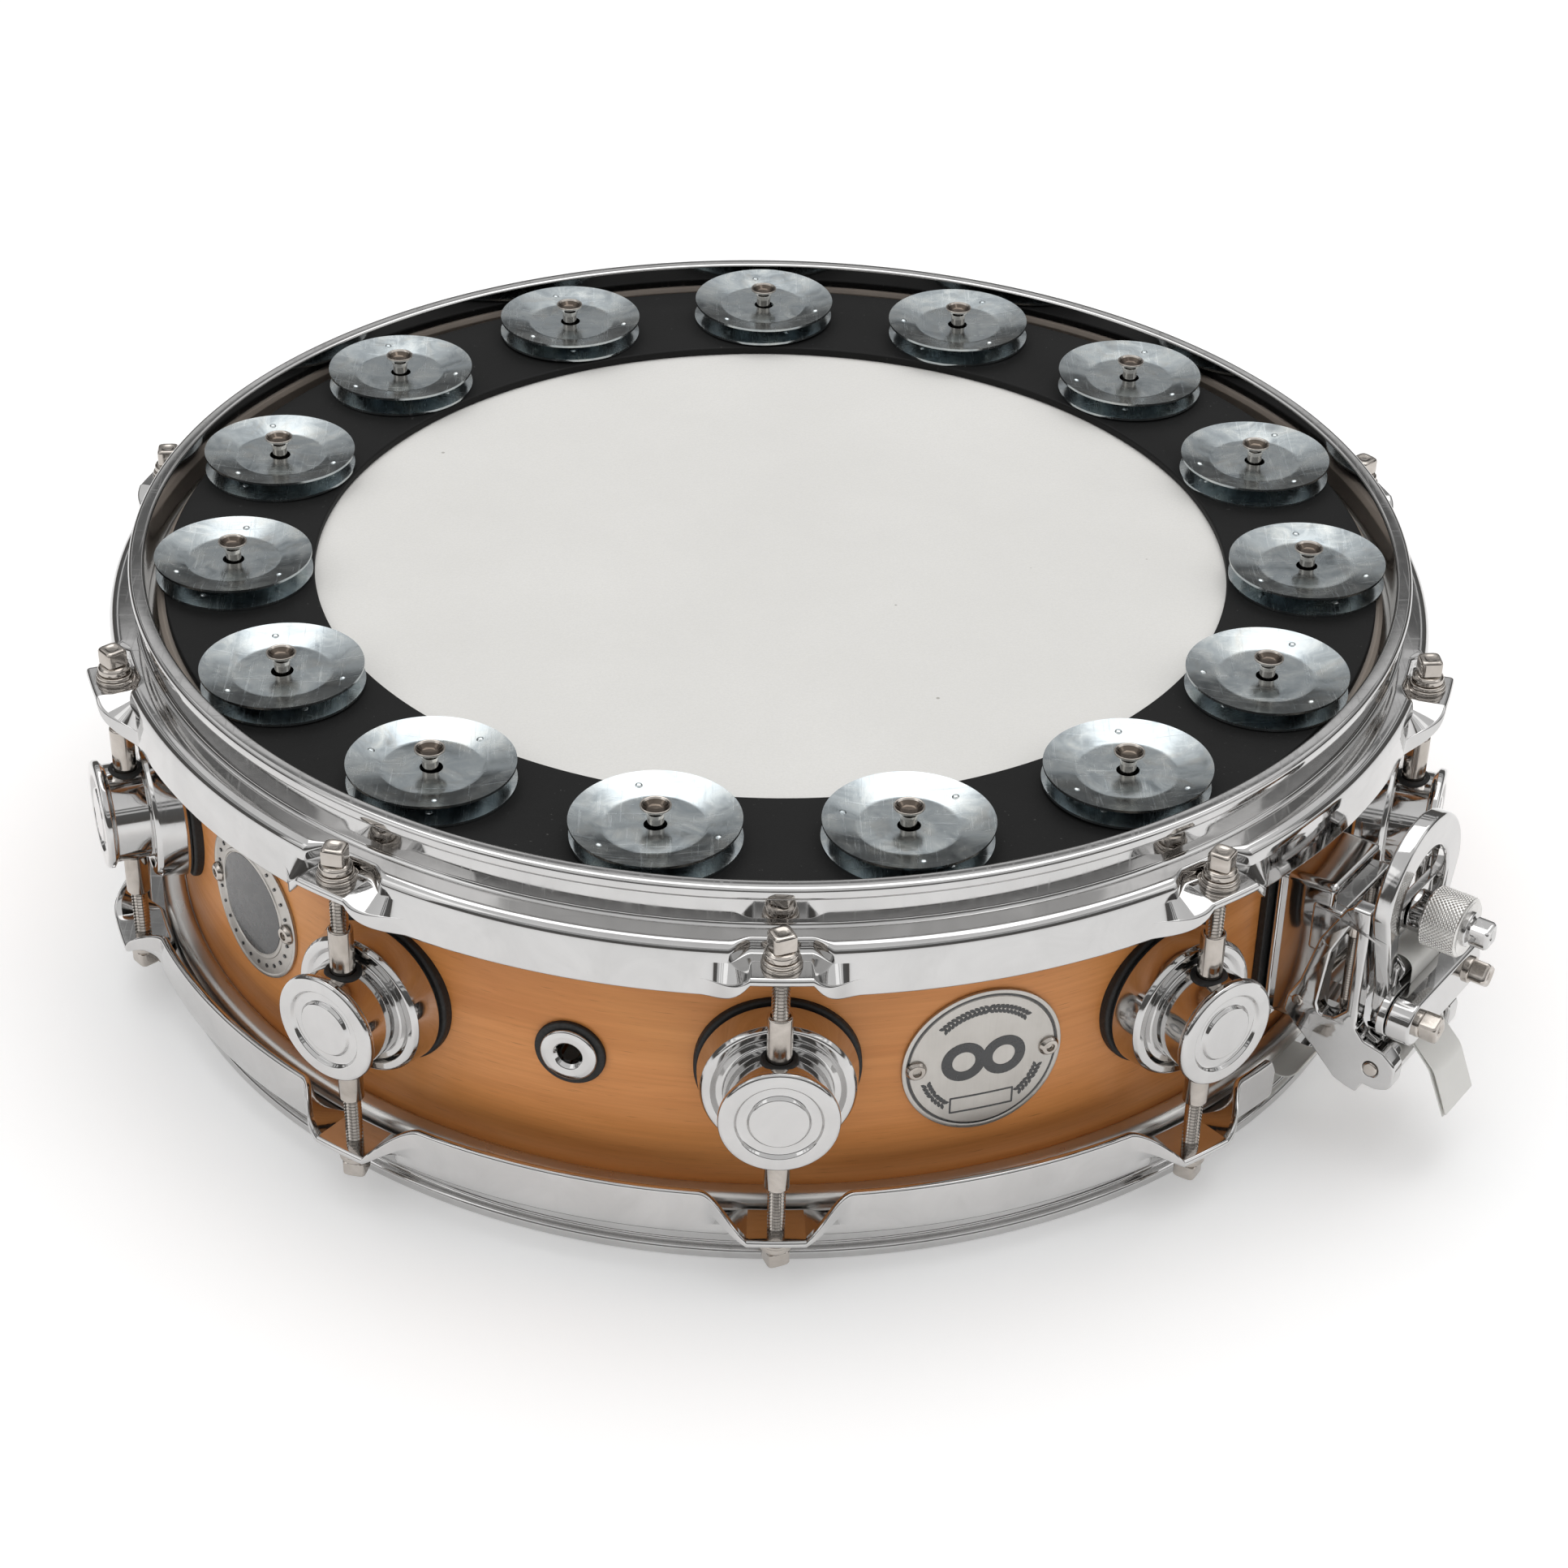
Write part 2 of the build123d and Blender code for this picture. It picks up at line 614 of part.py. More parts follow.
LOWER_BASE = RING_HIGH + JINGLE_GAP
LOWER_TOP = LOWER_BASE + JINGLE_RISE + JINGLE_SHEET
UPPER_BASE = LOWER_TOP + JINGLE_GAP
LOWER_DISC = [
    (JINGLE_HOLE, JINGLE_RISE),
    (JINGLE_FLAT - 0.4, JINGLE_RISE),
    (JINGLE_RADIUS, 0),
    (JINGLE_RADIUS, JINGLE_SHEET),
    (JINGLE_FLAT, JINGLE_RISE + JINGLE_SHEET),
    (JINGLE_HOLE, JINGLE_RISE + JINGLE_SHEET),
]
FULL_DISC = JINGLE_RISE + JINGLE_SHEET
lower_disc = turned([(radius, LOWER_BASE + height) for radius, height in LOWER_DISC])
upper_disc = turned([(radius, UPPER_BASE + FULL_DISC - height) for radius, height in LOWER_DISC])

for number in range(JINGLE_COUNT):
    a = radians(JINGLE_START + JINGLE_STEP * number)
    spot = (JINGLE_CIRCLE * sin(a), -JINGLE_CIRCLE * cos(a), 0)
    for kind, disc in (("lower", lower_disc), ("upper", upper_disc)):
        with BuildPart() as jingle:
            with Locations(spot):
                add(disc)
        save(jingle, f"{kind}_jingle_{number + 1:02d}")


# Snare wires, their end plates and the straps that pull them 
def along_strap(angle, route, bend):
    """A flat strap that follows (distance out, height) points, with rounded bends."""
    with BuildPart() as made:
        with BuildSketch(sideways(angle, STRAP_WIDTH / 2)):
            with BuildLine():
                FilletPolyline(*route, radius=bend)
            trace(line_width=STRAP_THICKNESS)
        extrude(amount=STRAP_WIDTH)
    return made.part


with BuildPart() as snare_wires:
    for number in range(WIRE_COUNT):
        aside = (number - (WIRE_COUNT - 1) / 2) * WIRE_PITCH
        with BuildSketch(outward(STRAINER_ANGLE, -WIRE_HALF_LENGTH)):
            with Locations((aside, WIRE_HEIGHT)):
                Circle(WIRE_RADIUS)
        extrude(amount=2 * WIRE_HALF_LENGTH)
save(snare_wires, "snare_wires")

PLATE_LENGTH = 12.0
PLATE_THICKNESS = 1.2
with BuildPart() as snare_end_plates:
    for angle in (STRAINER_ANGLE, BUTT_ANGLE):
        with BuildSketch(outward(angle, WIRE_HALF_LENGTH)):
            with Locations((0, WIRE_HEIGHT)):
                RectangleRounded(WIRE_COUNT * WIRE_PITCH + 2, PLATE_THICKNESS, 0.5)
        extrude(amount=PLATE_LENGTH)
save(snare_end_plates, "snare_end_plates")

STRAP_START = WIRE_HALF_LENGTH + PLATE_LENGTH + 0.1
ROLLER_BACK = ROLLER_OUT - ROLLER_RADIUS - STRAP_THICKNESS / 2 - STRAP_GAP
RUN_TOP = 47.0
BUTT_RUN_TOP = 50.0
with BuildPart() as snare_straps:
    add(
        along_strap(
            STRAINER_ANGLE,
            [(STRAP_START, WIRE_HEIGHT), (190.5, WIRE_HEIGHT), (ROLLER_BACK - 3, RUN_TOP)],
            STRAP_BEND,
        )
    )
    add(
        along_strap(
            BUTT_ANGLE,
            [(STRAP_START, WIRE_HEIGHT), (188.5, WIRE_HEIGHT), (193.65, 36.5), (193.65, BUTT_RUN_TOP)],
            STRAP_BEND,
        )
    )
save(snare_straps, "snare_straps")


# Throw-off: a fixed housing with two cheeks, and a lever that swings outward on a pin between them 
def side_plate(outline, near, far, holes=()):
    """A plate cut from (distance out, height) points, from one sideways offset to another."""
    with BuildPart() as made:
        with BuildSketch(sideways(STRAINER_ANGLE, far)):
            with BuildLine():
                Polyline(*outline, close=True)
            make_face()
            for out, height, radius in holes:
                with Locations((out, height)):
                    Circle(radius, mode=Mode.SUBTRACT)
        extrude(amount=far - near)
    return made.part


CHEEK_FRONT = LEVER_BACK - 0.7
STRAP_SLOT_MARGIN = 1.2
TIE_DEPTH = 9.0
TIE_HEIGHT = 15.0
CHEEK_OUTLINE = [
    (188.6, 41.5),
    (189.4, 45.5),
    (192.0, 52.0),
    (196.5, 70.0),
    (203.0, 81.0),
    (205.0, 82.5),
    (CHEEK_FRONT, 82.5),
    (CHEEK_FRONT, 45.0),
    (212.0, 41.6),
    (216.4, 40.6),
    (220.4, 39.4),
    (223.1, 36.6),
    (223.8, 33.0),
    (222.7, 29.4),
    (219.8, 27.0),
    (213.9, 26.8),
    (213.1, 23.4),
    (209.5, 24.0),
    (206.7, 25.0),
    (198.5, 32.9),
    (192.5, 37.6),
]
AWAY = Axis((0, 0, 0), outward(STRAINER_ANGLE).z_dir)
with BuildPart() as throwoff_housing:
    with BuildSketch(outward(STRAINER_ANGLE, HOUSING_SEAT)):
        with Locations((0, (HOUSING_LOW + HOUSING_HIGH) / 2)):
            RectangleRounded(2 * HOUSING_HALF, HOUSING_HIGH - HOUSING_LOW, 2.5)
    extrude(amount=HOUSING_FRONT - HOUSING_SEAT)
    fillet(throwoff_housing.faces().sort_by(AWAY)[-1].edges(), 1.5)
    with BuildSketch(sideways(STRAINER_ANGLE, STRAP_WIDTH / 2 + STRAP_SLOT_MARGIN)):
        with BuildLine():
            Polyline(
                (HOUSING_SEAT - 4, 30),
                (HOUSING_SEAT - 4, 40),
                (HOUSING_FRONT - 4, 56),
                (HOUSING_FRONT + 4, 56),
                (HOUSING_FRONT + 4, 30),
                close=True,
            )
        make_face()
    extrude(amount=STRAP_WIDTH + 2 * STRAP_SLOT_MARGIN, mode=Mode.SUBTRACT)
    for side in (-1, 1):
        near, far = sorted((side * CHEEK_INNER, side * CHEEK_OUTER))
        add(side_plate(CHEEK_OUTLINE, near, far, [(PIVOT_OUT, PIVOT_HEIGHT, PIN_RADIUS)]))
    with BuildSketch(outward(STRAINER_ANGLE, HOUSING_FRONT - 5)):
        with Locations((0, 68)):
            Rectangle(2 * CHEEK_INNER + 1, TIE_HEIGHT)
    extrude(amount=TIE_DEPTH)
    for step in (-FIXING_STEP, FIXING_STEP):
        with BuildSketch(outward(STRAINER_ANGLE, HOUSING_SEAT - 4)):
            with Locations((0, MIDDLE + step)):
                Circle(MOUNT_SCREW_RADIUS + 0.05)
        extrude(amount=STRAINER_THREAD_DEPTH + 5, mode=Mode.SUBTRACT)
save(throwoff_housing, "throwoff_housing")

with BuildPart() as lever_pivot_pin:
    with BuildSketch(sideways(STRAINER_ANGLE, CHEEK_OUTER + 0.4)):
        with Locations((PIVOT_OUT, PIVOT_HEIGHT)):
            Circle(PIN_RADIUS - 0.03)
    extrude(amount=2 * CHEEK_OUTER + 0.8)
save(lever_pivot_pin, "lever_pivot_pin")

KNUCKLE_RADIUS = 6.0
KNUCKLE_HALF = CHEEK_INNER - 0.5
LEG_FOOT = 46.5
SHAFT_RADIUS = 3.0
SHAFT_FIT = 0.05
with BuildPart() as throwoff_lever:
    with BuildSketch(outward(STRAINER_ANGLE, LEVER_BACK)):
        with BuildLine():
            shoulder = LEVER_TOP - LEVER_HALF
            Line((-LEVER_HALF, shoulder), (-LEVER_HALF, LEG_FOOT))
            Line((-LEVER_HALF, LEG_FOOT), (-KNUCKLE_HALF, LEG_FOOT - 3.5))
            Line((-KNUCKLE_HALF, LEG_FOOT - 3.5), (-KNUCKLE_HALF, PIVOT_HEIGHT))
            Line((-KNUCKLE_HALF, PIVOT_HEIGHT), (KNUCKLE_HALF, PIVOT_HEIGHT))
            Line((KNUCKLE_HALF, PIVOT_HEIGHT), (KNUCKLE_HALF, LEG_FOOT - 3.5))
            Line((KNUCKLE_HALF, LEG_FOOT - 3.5), (LEVER_HALF, LEG_FOOT))
            Line((LEVER_HALF, LEG_FOOT), (LEVER_HALF, shoulder))
            ThreePointArc((LEVER_HALF, shoulder), (0, LEVER_TOP), (-LEVER_HALF, shoulder))
        make_face()
        with Locations((0, (WINDOW_LOW + BRIDGE_LOW) / 2)):
            RectangleRounded(2 * WINDOW_HALF, BRIDGE_LOW - WINDOW_LOW, 2, mode=Mode.SUBTRACT)
        with BuildLine():
            spring = WINDOW_TOP - WINDOW_HALF
            Line((-WINDOW_HALF, spring), (-WINDOW_HALF, BRIDGE_HIGH))
            Line((-WINDOW_HALF, BRIDGE_HIGH), (WINDOW_HALF, BRIDGE_HIGH))
            Line((WINDOW_HALF, BRIDGE_HIGH), (WINDOW_HALF, spring))
            ThreePointArc((WINDOW_HALF, spring), (0, WINDOW_TOP), (-WINDOW_HALF, spring))
        make_face(mode=Mode.SUBTRACT)
    extrude(amount=LEVER_FRONT - LEVER_BACK)
    with BuildSketch(outward(STRAINER_ANGLE, LEVER_BACK + BRIDGE_THICKNESS)):
        with Locations((0, (BRIDGE_LOW + BRIDGE_HIGH) / 2)):
            Rectangle(2 * WINDOW_HALF, BRIDGE_HIGH - BRIDGE_LOW)
    extrude(amount=LEVER_FRONT - LEVER_BACK, mode=Mode.SUBTRACT)
    with BuildSketch(sideways(STRAINER_ANGLE, KNUCKLE_HALF)):
        with Locations((PIVOT_OUT, PIVOT_HEIGHT)):
            Circle(KNUCKLE_RADIUS)
    extrude(amount=2 * KNUCKLE_HALF)
    with BuildSketch(sideways(STRAINER_ANGLE, CHEEK_OUTER)):
        with Locations((PIVOT_OUT, PIVOT_HEIGHT)):
            Circle(PIN_RADIUS + 0.03)
    extrude(amount=2 * CHEEK_OUTER, mode=Mode.SUBTRACT)
    with BuildSketch(outward(STRAINER_ANGLE, LEVER_BACK - 1)):
        with Locations((0, KNOB_HEIGHT)):
            Circle(SHAFT_RADIUS + SHAFT_FIT)
    extrude(amount=8, mode=Mode.SUBTRACT)
save(throwoff_lever, "throwoff_lever")

KNOB_STEP = 0.9
KNOB_PARTS = (
    (LEVER_BACK - 0.6, LEVER_BACK + 3.4, SHAFT_RADIUS),
    (LEVER_BACK - 2.2, LEVER_BACK - 0.3, SHAFT_RADIUS + 1.6),
    (LEVER_BACK + 3.3, KNOB_BACK, 6.0),
    (KNOB_BACK, KNOB_FRONT, KNOB_RADIUS),
    (KNOB_FRONT, KNOB_FRONT + KNOB_STEP, 5.0),
)
KEY_LENGTH = 6.0
with BuildPart() as tension_knob:
    for back, front, radius in KNOB_PARTS:
        with BuildSketch(outward(STRAINER_ANGLE, back)):
            with Locations((0, KNOB_HEIGHT)):
                Circle(radius)
        extrude(amount=front - back)
    with BuildSketch(outward(STRAINER_ANGLE, KNOB_FRONT + KNOB_STEP)):
        with Locations((0, KNOB_HEIGHT)):
            RectangleRounded(KEY_SQUARE, KEY_SQUARE, KEY_CORNER)
    extrude(amount=KEY_LENGTH)
save(tension_knob, "tension_knob")

ARM_INNER = 10.6
ARM_OUTER = 12.6
ARM_BACK = LEVER_BACK - 0.2
with BuildPart() as strap_carriage:
    with BuildSketch(outward(STRAINER_ANGLE, CARRIAGE_BACK)):
        with Locations((0, CLAMP_HEIGHT)):
            SlotOverall(2 * CLAMP_HALF, 2 * CLAMP_RADIUS)
        for side in (-1, 1):
            with Locations((side * CLAMP_SCREW_OFFSET, CLAMP_HEIGHT)):
                Circle(CLAMP_SCREW_RADIUS + 0.05, mode=Mode.SUBTRACT)
    extrude(amount=CARRIAGE_FRONT - CARRIAGE_BACK)
    for side in (-1, 1):
        near, far = sorted((side * ARM_INNER, side * ARM_OUTER))
        arm = [
            (CARRIAGE_BACK + 0.5, CLAMP_HEIGHT - 4),
            (CARRIAGE_BACK + 0.5, ROLLER_HEIGHT + 3),
            (ARM_BACK, ROLLER_HEIGHT + 3),
            (ARM_BACK, CLAMP_HEIGHT - 4),
        ]
        add(side_plate(arm, near, far, [(ROLLER_OUT, ROLLER_HEIGHT, AXLE_RADIUS + 0.05)]))
save(strap_carriage, "strap_carriage")

with BuildPart() as strap_roller:
    for half, radius in ((ARM_INNER - 0.3, ROLLER_RADIUS), (ARM_OUTER, AXLE_RADIUS)):
        with BuildSketch(sideways(STRAINER_ANGLE, half)):
            with Locations((ROLLER_OUT, ROLLER_HEIGHT)):
                Circle(radius)
        extrude(amount=2 * half)
save(strap_roller, "strap_roller")

with BuildPart() as clamp_bar:
    with BuildSketch(outward(STRAINER_ANGLE, CLAMP_BACK)):
        with Locations((0, CLAMP_HEIGHT)):
            SlotOverall(2 * CLAMP_HALF, 2 * CLAMP_RADIUS)
        for side in (-1, 1):
            with Locations((side * CLAMP_SCREW_OFFSET, CLAMP_HEIGHT)):
                Circle(CLAMP_SCREW_RADIUS + 0.15, mode=Mode.SUBTRACT)
    extrude(amount=CLAMP_FRONT - CLAMP_BACK)
    fillet(clamp_bar.faces().sort_by(AWAY)[-1].outer_wire().edges(), 0.8)
save(clamp_bar, "clamp_bar")


clamp_face_plane = outward(STRAINER_ANGLE, CLAMP_FRONT + 0.02)
with BuildPart() as clamp_screws:
    with BuildSketch(clamp_face_plane):
        with GridLocations(2 * CLAMP_SCREW_OFFSET, 0, 2, 1):
            with Locations((0, CLAMP_HEIGHT)):
                RectangleRounded(KEY_SQUARE, KEY_SQUARE, KEY_CORNER)
    extrude(amount=KEY_LENGTH)
    with BuildSketch(clamp_face_plane):
        with GridLocations(2 * CLAMP_SCREW_OFFSET, 0, 2, 1):
            with Locations((0, CLAMP_HEIGHT)):
                Circle(CLAMP_COLLAR_RADIUS)
    extrude(amount=CLAMP_COLLAR)
    with BuildSketch(clamp_face_plane):
        with GridLocations(2 * CLAMP_SCREW_OFFSET, 0, 2, 1):
            with Locations((0, CLAMP_HEIGHT)):
                Circle(CLAMP_SCREW_RADIUS)
    extrude(amount=CARRIAGE_BACK + 0.3 - CLAMP_FRONT)
save(clamp_screws, "clamp_screws")

TAIL_OUT = (CARRIAGE_FRONT + CLAMP_BACK) / 2
ROLLER_TOP = ROLLER_HEIGHT + ROLLER_RADIUS + STRAP_THICKNESS / 2 + STRAP_GAP
with BuildPart() as strap_tail:
    add(
        along_strap(
            STRAINER_ANGLE,
            [
                (ROLLER_BACK - 2.4, RUN_TOP + 2),
                (ROLLER_BACK, ROLLER_HEIGHT),
                (ROLLER_BACK + 0.4, ROLLER_TOP),
                (TAIL_OUT, ROLLER_TOP),
                (TAIL_OUT, CLAMP_HEIGHT - CLAMP_RADIUS - 2),
                (229.5, 32.0),
                (235.2, 17.6),
            ],
            ROLLER_RADIUS + STRAP_GAP + STRAP_THICKNESS / 2,
        )
    )
save(strap_tail, "strap_tail")


# Butt plate: the fixed end of the snares ----------------------------------------------------------
BUTT_OUT = HOUSING_SEAT + 11
BUTT_CLAMP_HEIGHT = 46.0
BUTT_REST = 1.8
BUTT_CLAMP_BACK = 194.1
BUTT_CLAMP = 6.0
BUTT_KEY = 6.0
with BuildPart() as butt_plate:
    with BuildSketch(outward(BUTT_ANGLE, HOUSING_SEAT)):
        with Locations((0, (BUTT_LOW + BUTT_HIGH) / 2)):
            RectangleRounded(2 * HOUSING_HALF, BUTT_HIGH - BUTT_LOW, 3)
        for step in (-FIXING_STEP, FIXING_STEP):
            with Locations((0, MIDDLE + step)):
                Circle(MOUNT_SCREW_RADIUS + 0.05, mode=Mode.SUBTRACT)
    extrude(amount=BUTT_OUT - HOUSING_SEAT)
    for back, thickness in ((BUTT_OUT, BUTT_REST), (BUTT_CLAMP_BACK, BUTT_CLAMP)):
        with BuildSketch(outward(BUTT_ANGLE, back)):
            with Locations((0, BUTT_CLAMP_HEIGHT)):
                SlotOverall(2 * CLAMP_HALF - 1, 2 * CLAMP_RADIUS)
        extrude(amount=thickness)
    with BuildSketch(outward(BUTT_ANGLE, BUTT_CLAMP_BACK + BUTT_CLAMP + 0.02)):
        with GridLocations(2 * CLAMP_SCREW_OFFSET, 0, 2, 1):
            with Locations((0, BUTT_CLAMP_HEIGHT)):
                RectangleRounded(KEY_SQUARE, KEY_SQUARE, KEY_CORNER)
    extrude(amount=BUTT_KEY)
save(butt_plate, "butt_plate")
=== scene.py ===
"""A shallow snare drum with a ring of jingles lying on its batter head.

Laid out as an add-on: each piece or group of like pieces has its settings and an operator, and the
stage has one too. Angles are measured from the front (-Y) towards +X, lengths are in metres.
"""

import random
from math import atan2, ceil, cos, pi, radians, sin, sqrt, tan

import bpy
from bpy.props import FloatProperty, FloatVectorProperty, IntProperty, PointerProperty
from mathutils import Matrix, Vector


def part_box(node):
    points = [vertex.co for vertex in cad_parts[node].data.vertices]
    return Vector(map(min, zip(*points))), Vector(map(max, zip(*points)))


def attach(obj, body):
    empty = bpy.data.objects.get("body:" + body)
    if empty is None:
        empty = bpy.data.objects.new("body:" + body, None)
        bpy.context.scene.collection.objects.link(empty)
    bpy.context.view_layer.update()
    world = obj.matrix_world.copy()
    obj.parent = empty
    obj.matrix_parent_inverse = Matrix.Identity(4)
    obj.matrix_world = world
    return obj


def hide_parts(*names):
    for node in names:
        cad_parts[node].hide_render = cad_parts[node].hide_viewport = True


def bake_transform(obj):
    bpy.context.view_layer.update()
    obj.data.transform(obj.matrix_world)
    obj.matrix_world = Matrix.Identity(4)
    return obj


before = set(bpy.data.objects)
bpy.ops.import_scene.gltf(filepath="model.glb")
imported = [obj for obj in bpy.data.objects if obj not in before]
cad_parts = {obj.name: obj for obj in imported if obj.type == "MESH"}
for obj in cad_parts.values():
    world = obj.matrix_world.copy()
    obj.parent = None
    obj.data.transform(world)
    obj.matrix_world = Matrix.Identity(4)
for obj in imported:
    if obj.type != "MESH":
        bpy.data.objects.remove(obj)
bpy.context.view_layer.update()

bl_info = {
    "name": "Snare drum with jingle ring",
    "version": (1, 0, 0),
    "blender": (4, 5, 0),
    "location": "3D View > Sidebar > Drum",
    "description": "Builds the looks of a shallow snare drum and its drop-on jingle ring",
    "category": "Object",
}

MM = 0.001
SHELL_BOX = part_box("shell")
HOOP_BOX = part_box("batter_hoop")
RING_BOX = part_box("jingle_ring")
HEIGHT = HOOP_BOX[1].z
MIDDLE = HEIGHT / 2
SHELL_RADIUS = SHELL_BOX[1].x
HEAD_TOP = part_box("batter_head")[1].z
STRAINER_ANGLE = 54.0
BUTT_ANGLE = STRAINER_ANGLE - 180


# Places --------------------------------------------------------------------------------------------
def side_of(angle):
    return Vector((cos(radians(angle)), sin(radians(angle)), 0))


def out_of(angle):
    return Vector((sin(radians(angle)), -cos(radians(angle)), 0))


def matrix_of(x_axis, y_axis, z_axis, origin):
    rows = Matrix((x_axis, y_axis, z_axis)).transposed().to_4x4()
    rows.translation = origin
    return rows


def facing_out(angle, out=0.0, height=0.0, side=0.0):
    """Local x runs sideways, y up and z away from the drum's axis."""
    origin = out_of(angle) * out + side_of(angle) * side + Vector((0, 0, height))
    return matrix_of(side_of(angle), Vector((0, 0, 1)), out_of(angle), origin)


def facing_side(angle, out=0.0, height=0.0, side=0.0):
    """Local x runs outward, y up and z against the sideways direction."""
    origin = out_of(angle) * out + side_of(angle) * side + Vector((0, 0, height))
    return matrix_of(out_of(angle), Vector((0, 0, 1)), -side_of(angle), origin)


def standing(angle, out, height=0.0):
    """Local z runs up at a place out from the drum's axis."""
    return matrix_of(side_of(angle), -out_of(angle), Vector((0, 0, 1)), out_of(angle) * out + Vector((0, 0, height)))


# Outlines --------------------------------------------------------------------------------------------
def rounded(corners, steps=4, closed=True):
    """Points of an outline whose (x, y, radius) corners are turned into arcs."""
    points = []
    count = len(corners)
    for i, (x, y, radius) in enumerate(corners):
        here = Vector((x, y))
        if radius <= 0 or (not closed and i in (0, count - 1)):
            points.append((x, y))
            continue
        before = (Vector(corners[i - 1][:2]) - here).normalized()
        after = (Vector(corners[(i + 1) % count][:2]) - here).normalized()
        half = before.angle(after) / 2
        centre = here + (before + after).normalized() * (radius / sin(half))
        start = here + before * (radius / tan(half)) - centre
        end = here + after * (radius / tan(half)) - centre
        first = atan2(start.y, start.x)
        turn = (atan2(end.y, end.x) - first + pi) % (2 * pi) - pi
        for k in range(steps + 1):
            a = first + turn * k / steps
            points.append((centre.x + radius * cos(a), centre.y + radius * sin(a)))
    return points


def in_mm(corners):
    """Corners given in millimetres, as metres."""
    return [tuple(value * MM for value in corner) for corner in corners]


def stadium(length, radius, centre=(0, 0), steps=14):
    """A slot shape that lies along x."""
    reach = length / 2 - radius
    points = []
    for end, first in ((1, -pi / 2), (-1, pi / 2)):
        for k in range(steps + 1):
            a = first + pi * k / steps
            points.append((centre[0] + end * reach + radius * cos(a), centre[1] + radius * sin(a)))
    return points


def circle(radius, centre=(0, 0), steps=32):
    return [
        (centre[0] + radius * cos(2 * pi * k / steps), centre[1] + radius * sin(2 * pi * k / steps))
        for k in range(steps)
    ]


# Meshes ------------------------------------------------------------------------------------------------
def as_object(name, mesh):
    made = bpy.data.objects.new(name, mesh)
    bpy.context.scene.collection.objects.link(made)
    return made


def clean(mesh, merge=1e-6):
    """Merge doubles and point the faces outward."""
    import bmesh

    work = bmesh.new()
    work.from_mesh(mesh)
    bmesh.ops.remove_doubles(work, verts=work.verts, dist=merge)
    bmesh.ops.dissolve_degenerate(work, edges=work.edges, dist=merge / 2)
    bmesh.ops.recalc_face_normals(work, faces=work.faces)
    work.to_mesh(mesh)
    work.free()


def mesh_from(name, points, faces, sharp=32, tidy=True):
    mesh = bpy.data.meshes.new(name)
    mesh.from_pydata([tuple(p) for p in points], [], faces)
    if tidy:
        clean(mesh)
    mesh.shade_smooth()
    mesh.set_sharp_from_angle(angle=radians(sharp))
    return as_object(name, mesh)


def lathe(name, outline, segments=48, matrix=None, closed=True, sharp=32):
    """A solid turned about local Z from (radius, height) points."""
    points, faces = [], []
    count = len(outline)
    for k in range(segments):
        a = 2 * pi * k / segments
        for radius, height in outline:
            points.append((radius * cos(a), radius * sin(a), height))
    for k in range(segments):
        here, following = k * count, ((k + 1) % segments) * count
        for i in range(count if closed else count - 1):
            j = (i + 1) % count
            faces.append((here + i, following + i, following + j, here + j))
    made = mesh_from(name, points, faces, sharp)
    if matrix:
        made.data.transform(matrix)
    return made


def loft(name, rings, matrix=None, sharp=32):
    """A closed solid through rings of equally many points."""
    count = len(rings[0])
    points = [p for ring in rings for p in ring]
    faces = []
    for level in range(len(rings) - 1):
        for i in range(count):
            j = (i + 1) % count
            low, high = level * count, (level + 1) * count
            faces.append((low + i, low + j, high + j, high + i))
    faces.append(tuple(range(count - 1, -1, -1)))
    faces.append(tuple((len(rings) - 1) * count + i for i in range(count)))
    made = mesh_from(name, points, faces, sharp)
    if matrix:
        made.data.transform(matrix)
    return made


def plate(name, outline, thickness, matrix, holes=(), edge=0.4 * MM, sharp=32):
    """A flat plate with eased edges; its back lies on local z = 0."""
    curve = bpy.data.curves.new(name, "CURVE")
    curve.dimensions = "2D"
    curve.fill_mode = "BOTH"
    curve.extrude = thickness / 2 - edge
    curve.bevel_depth = edge
    curve.bevel_resolution = 2
    curve.offset = -edge
    for loop in (outline, *holes):
        spline = curve.splines.new("POLY")
        spline.points.add(len(loop) - 1)
        for point, (x, y) in zip(spline.points, loop):
            point.co = (x, y, 0, 1)
        spline.use_cyclic_u = True
    carrier = as_object(name + "_outline", curve)
    mesh = plain_mesh(carrier)
    bpy.data.objects.remove(carrier)
    mesh.transform(matrix @ Matrix.Translation((0, 0, thickness / 2)))
    clean(mesh)
    mesh.shade_smooth()
    mesh.set_sharp_from_angle(angle=radians(sharp))
    return as_object(name, mesh)


def plain_mesh(carrier):
    depsgraph = bpy.context.evaluated_depsgraph_get()
    depsgraph.update()
    return bpy.data.meshes.new_from_object(carrier.evaluated_get(depsgraph), depsgraph=depsgraph)


def joined(name, pieces):
    """One object from several, which are removed."""
    import bmesh

    work = bmesh.new()
    for piece in pieces:
        work.from_mesh(piece.data)
    mesh = bpy.data.meshes.new(name)
    work.to_mesh(mesh)
    work.free()
    for piece in pieces:
        bpy.data.objects.remove(piece)
    return as_object(name, mesh)


def squared_ring(half, squareness, height, count=40):
    """A ring that runs from round (0) to square with eased corners (1)."""
    power = 2 + 4.5 * squareness
    ring = []
    for k in range(count):
        a = 2 * pi * k / count
        reach = half / (abs(cos(a)) ** power + abs(sin(a)) ** power) ** (1 / power)
        ring.append(Vector((reach * cos(a), reach * sin(a), height)))
    return ring


def bend_to_shell(piece, angle, height):
    """Wrap a flat piece round the shell: local x runs round it, y up and z outward."""
    for vertex in piece.data.vertices:
        x, y, z = vertex.co
        turned = angle + x / SHELL_RADIUS * 180 / pi
        vertex.co = out_of(turned) * (SHELL_RADIUS + z) + Vector((0, 0, height + y))
    return piece


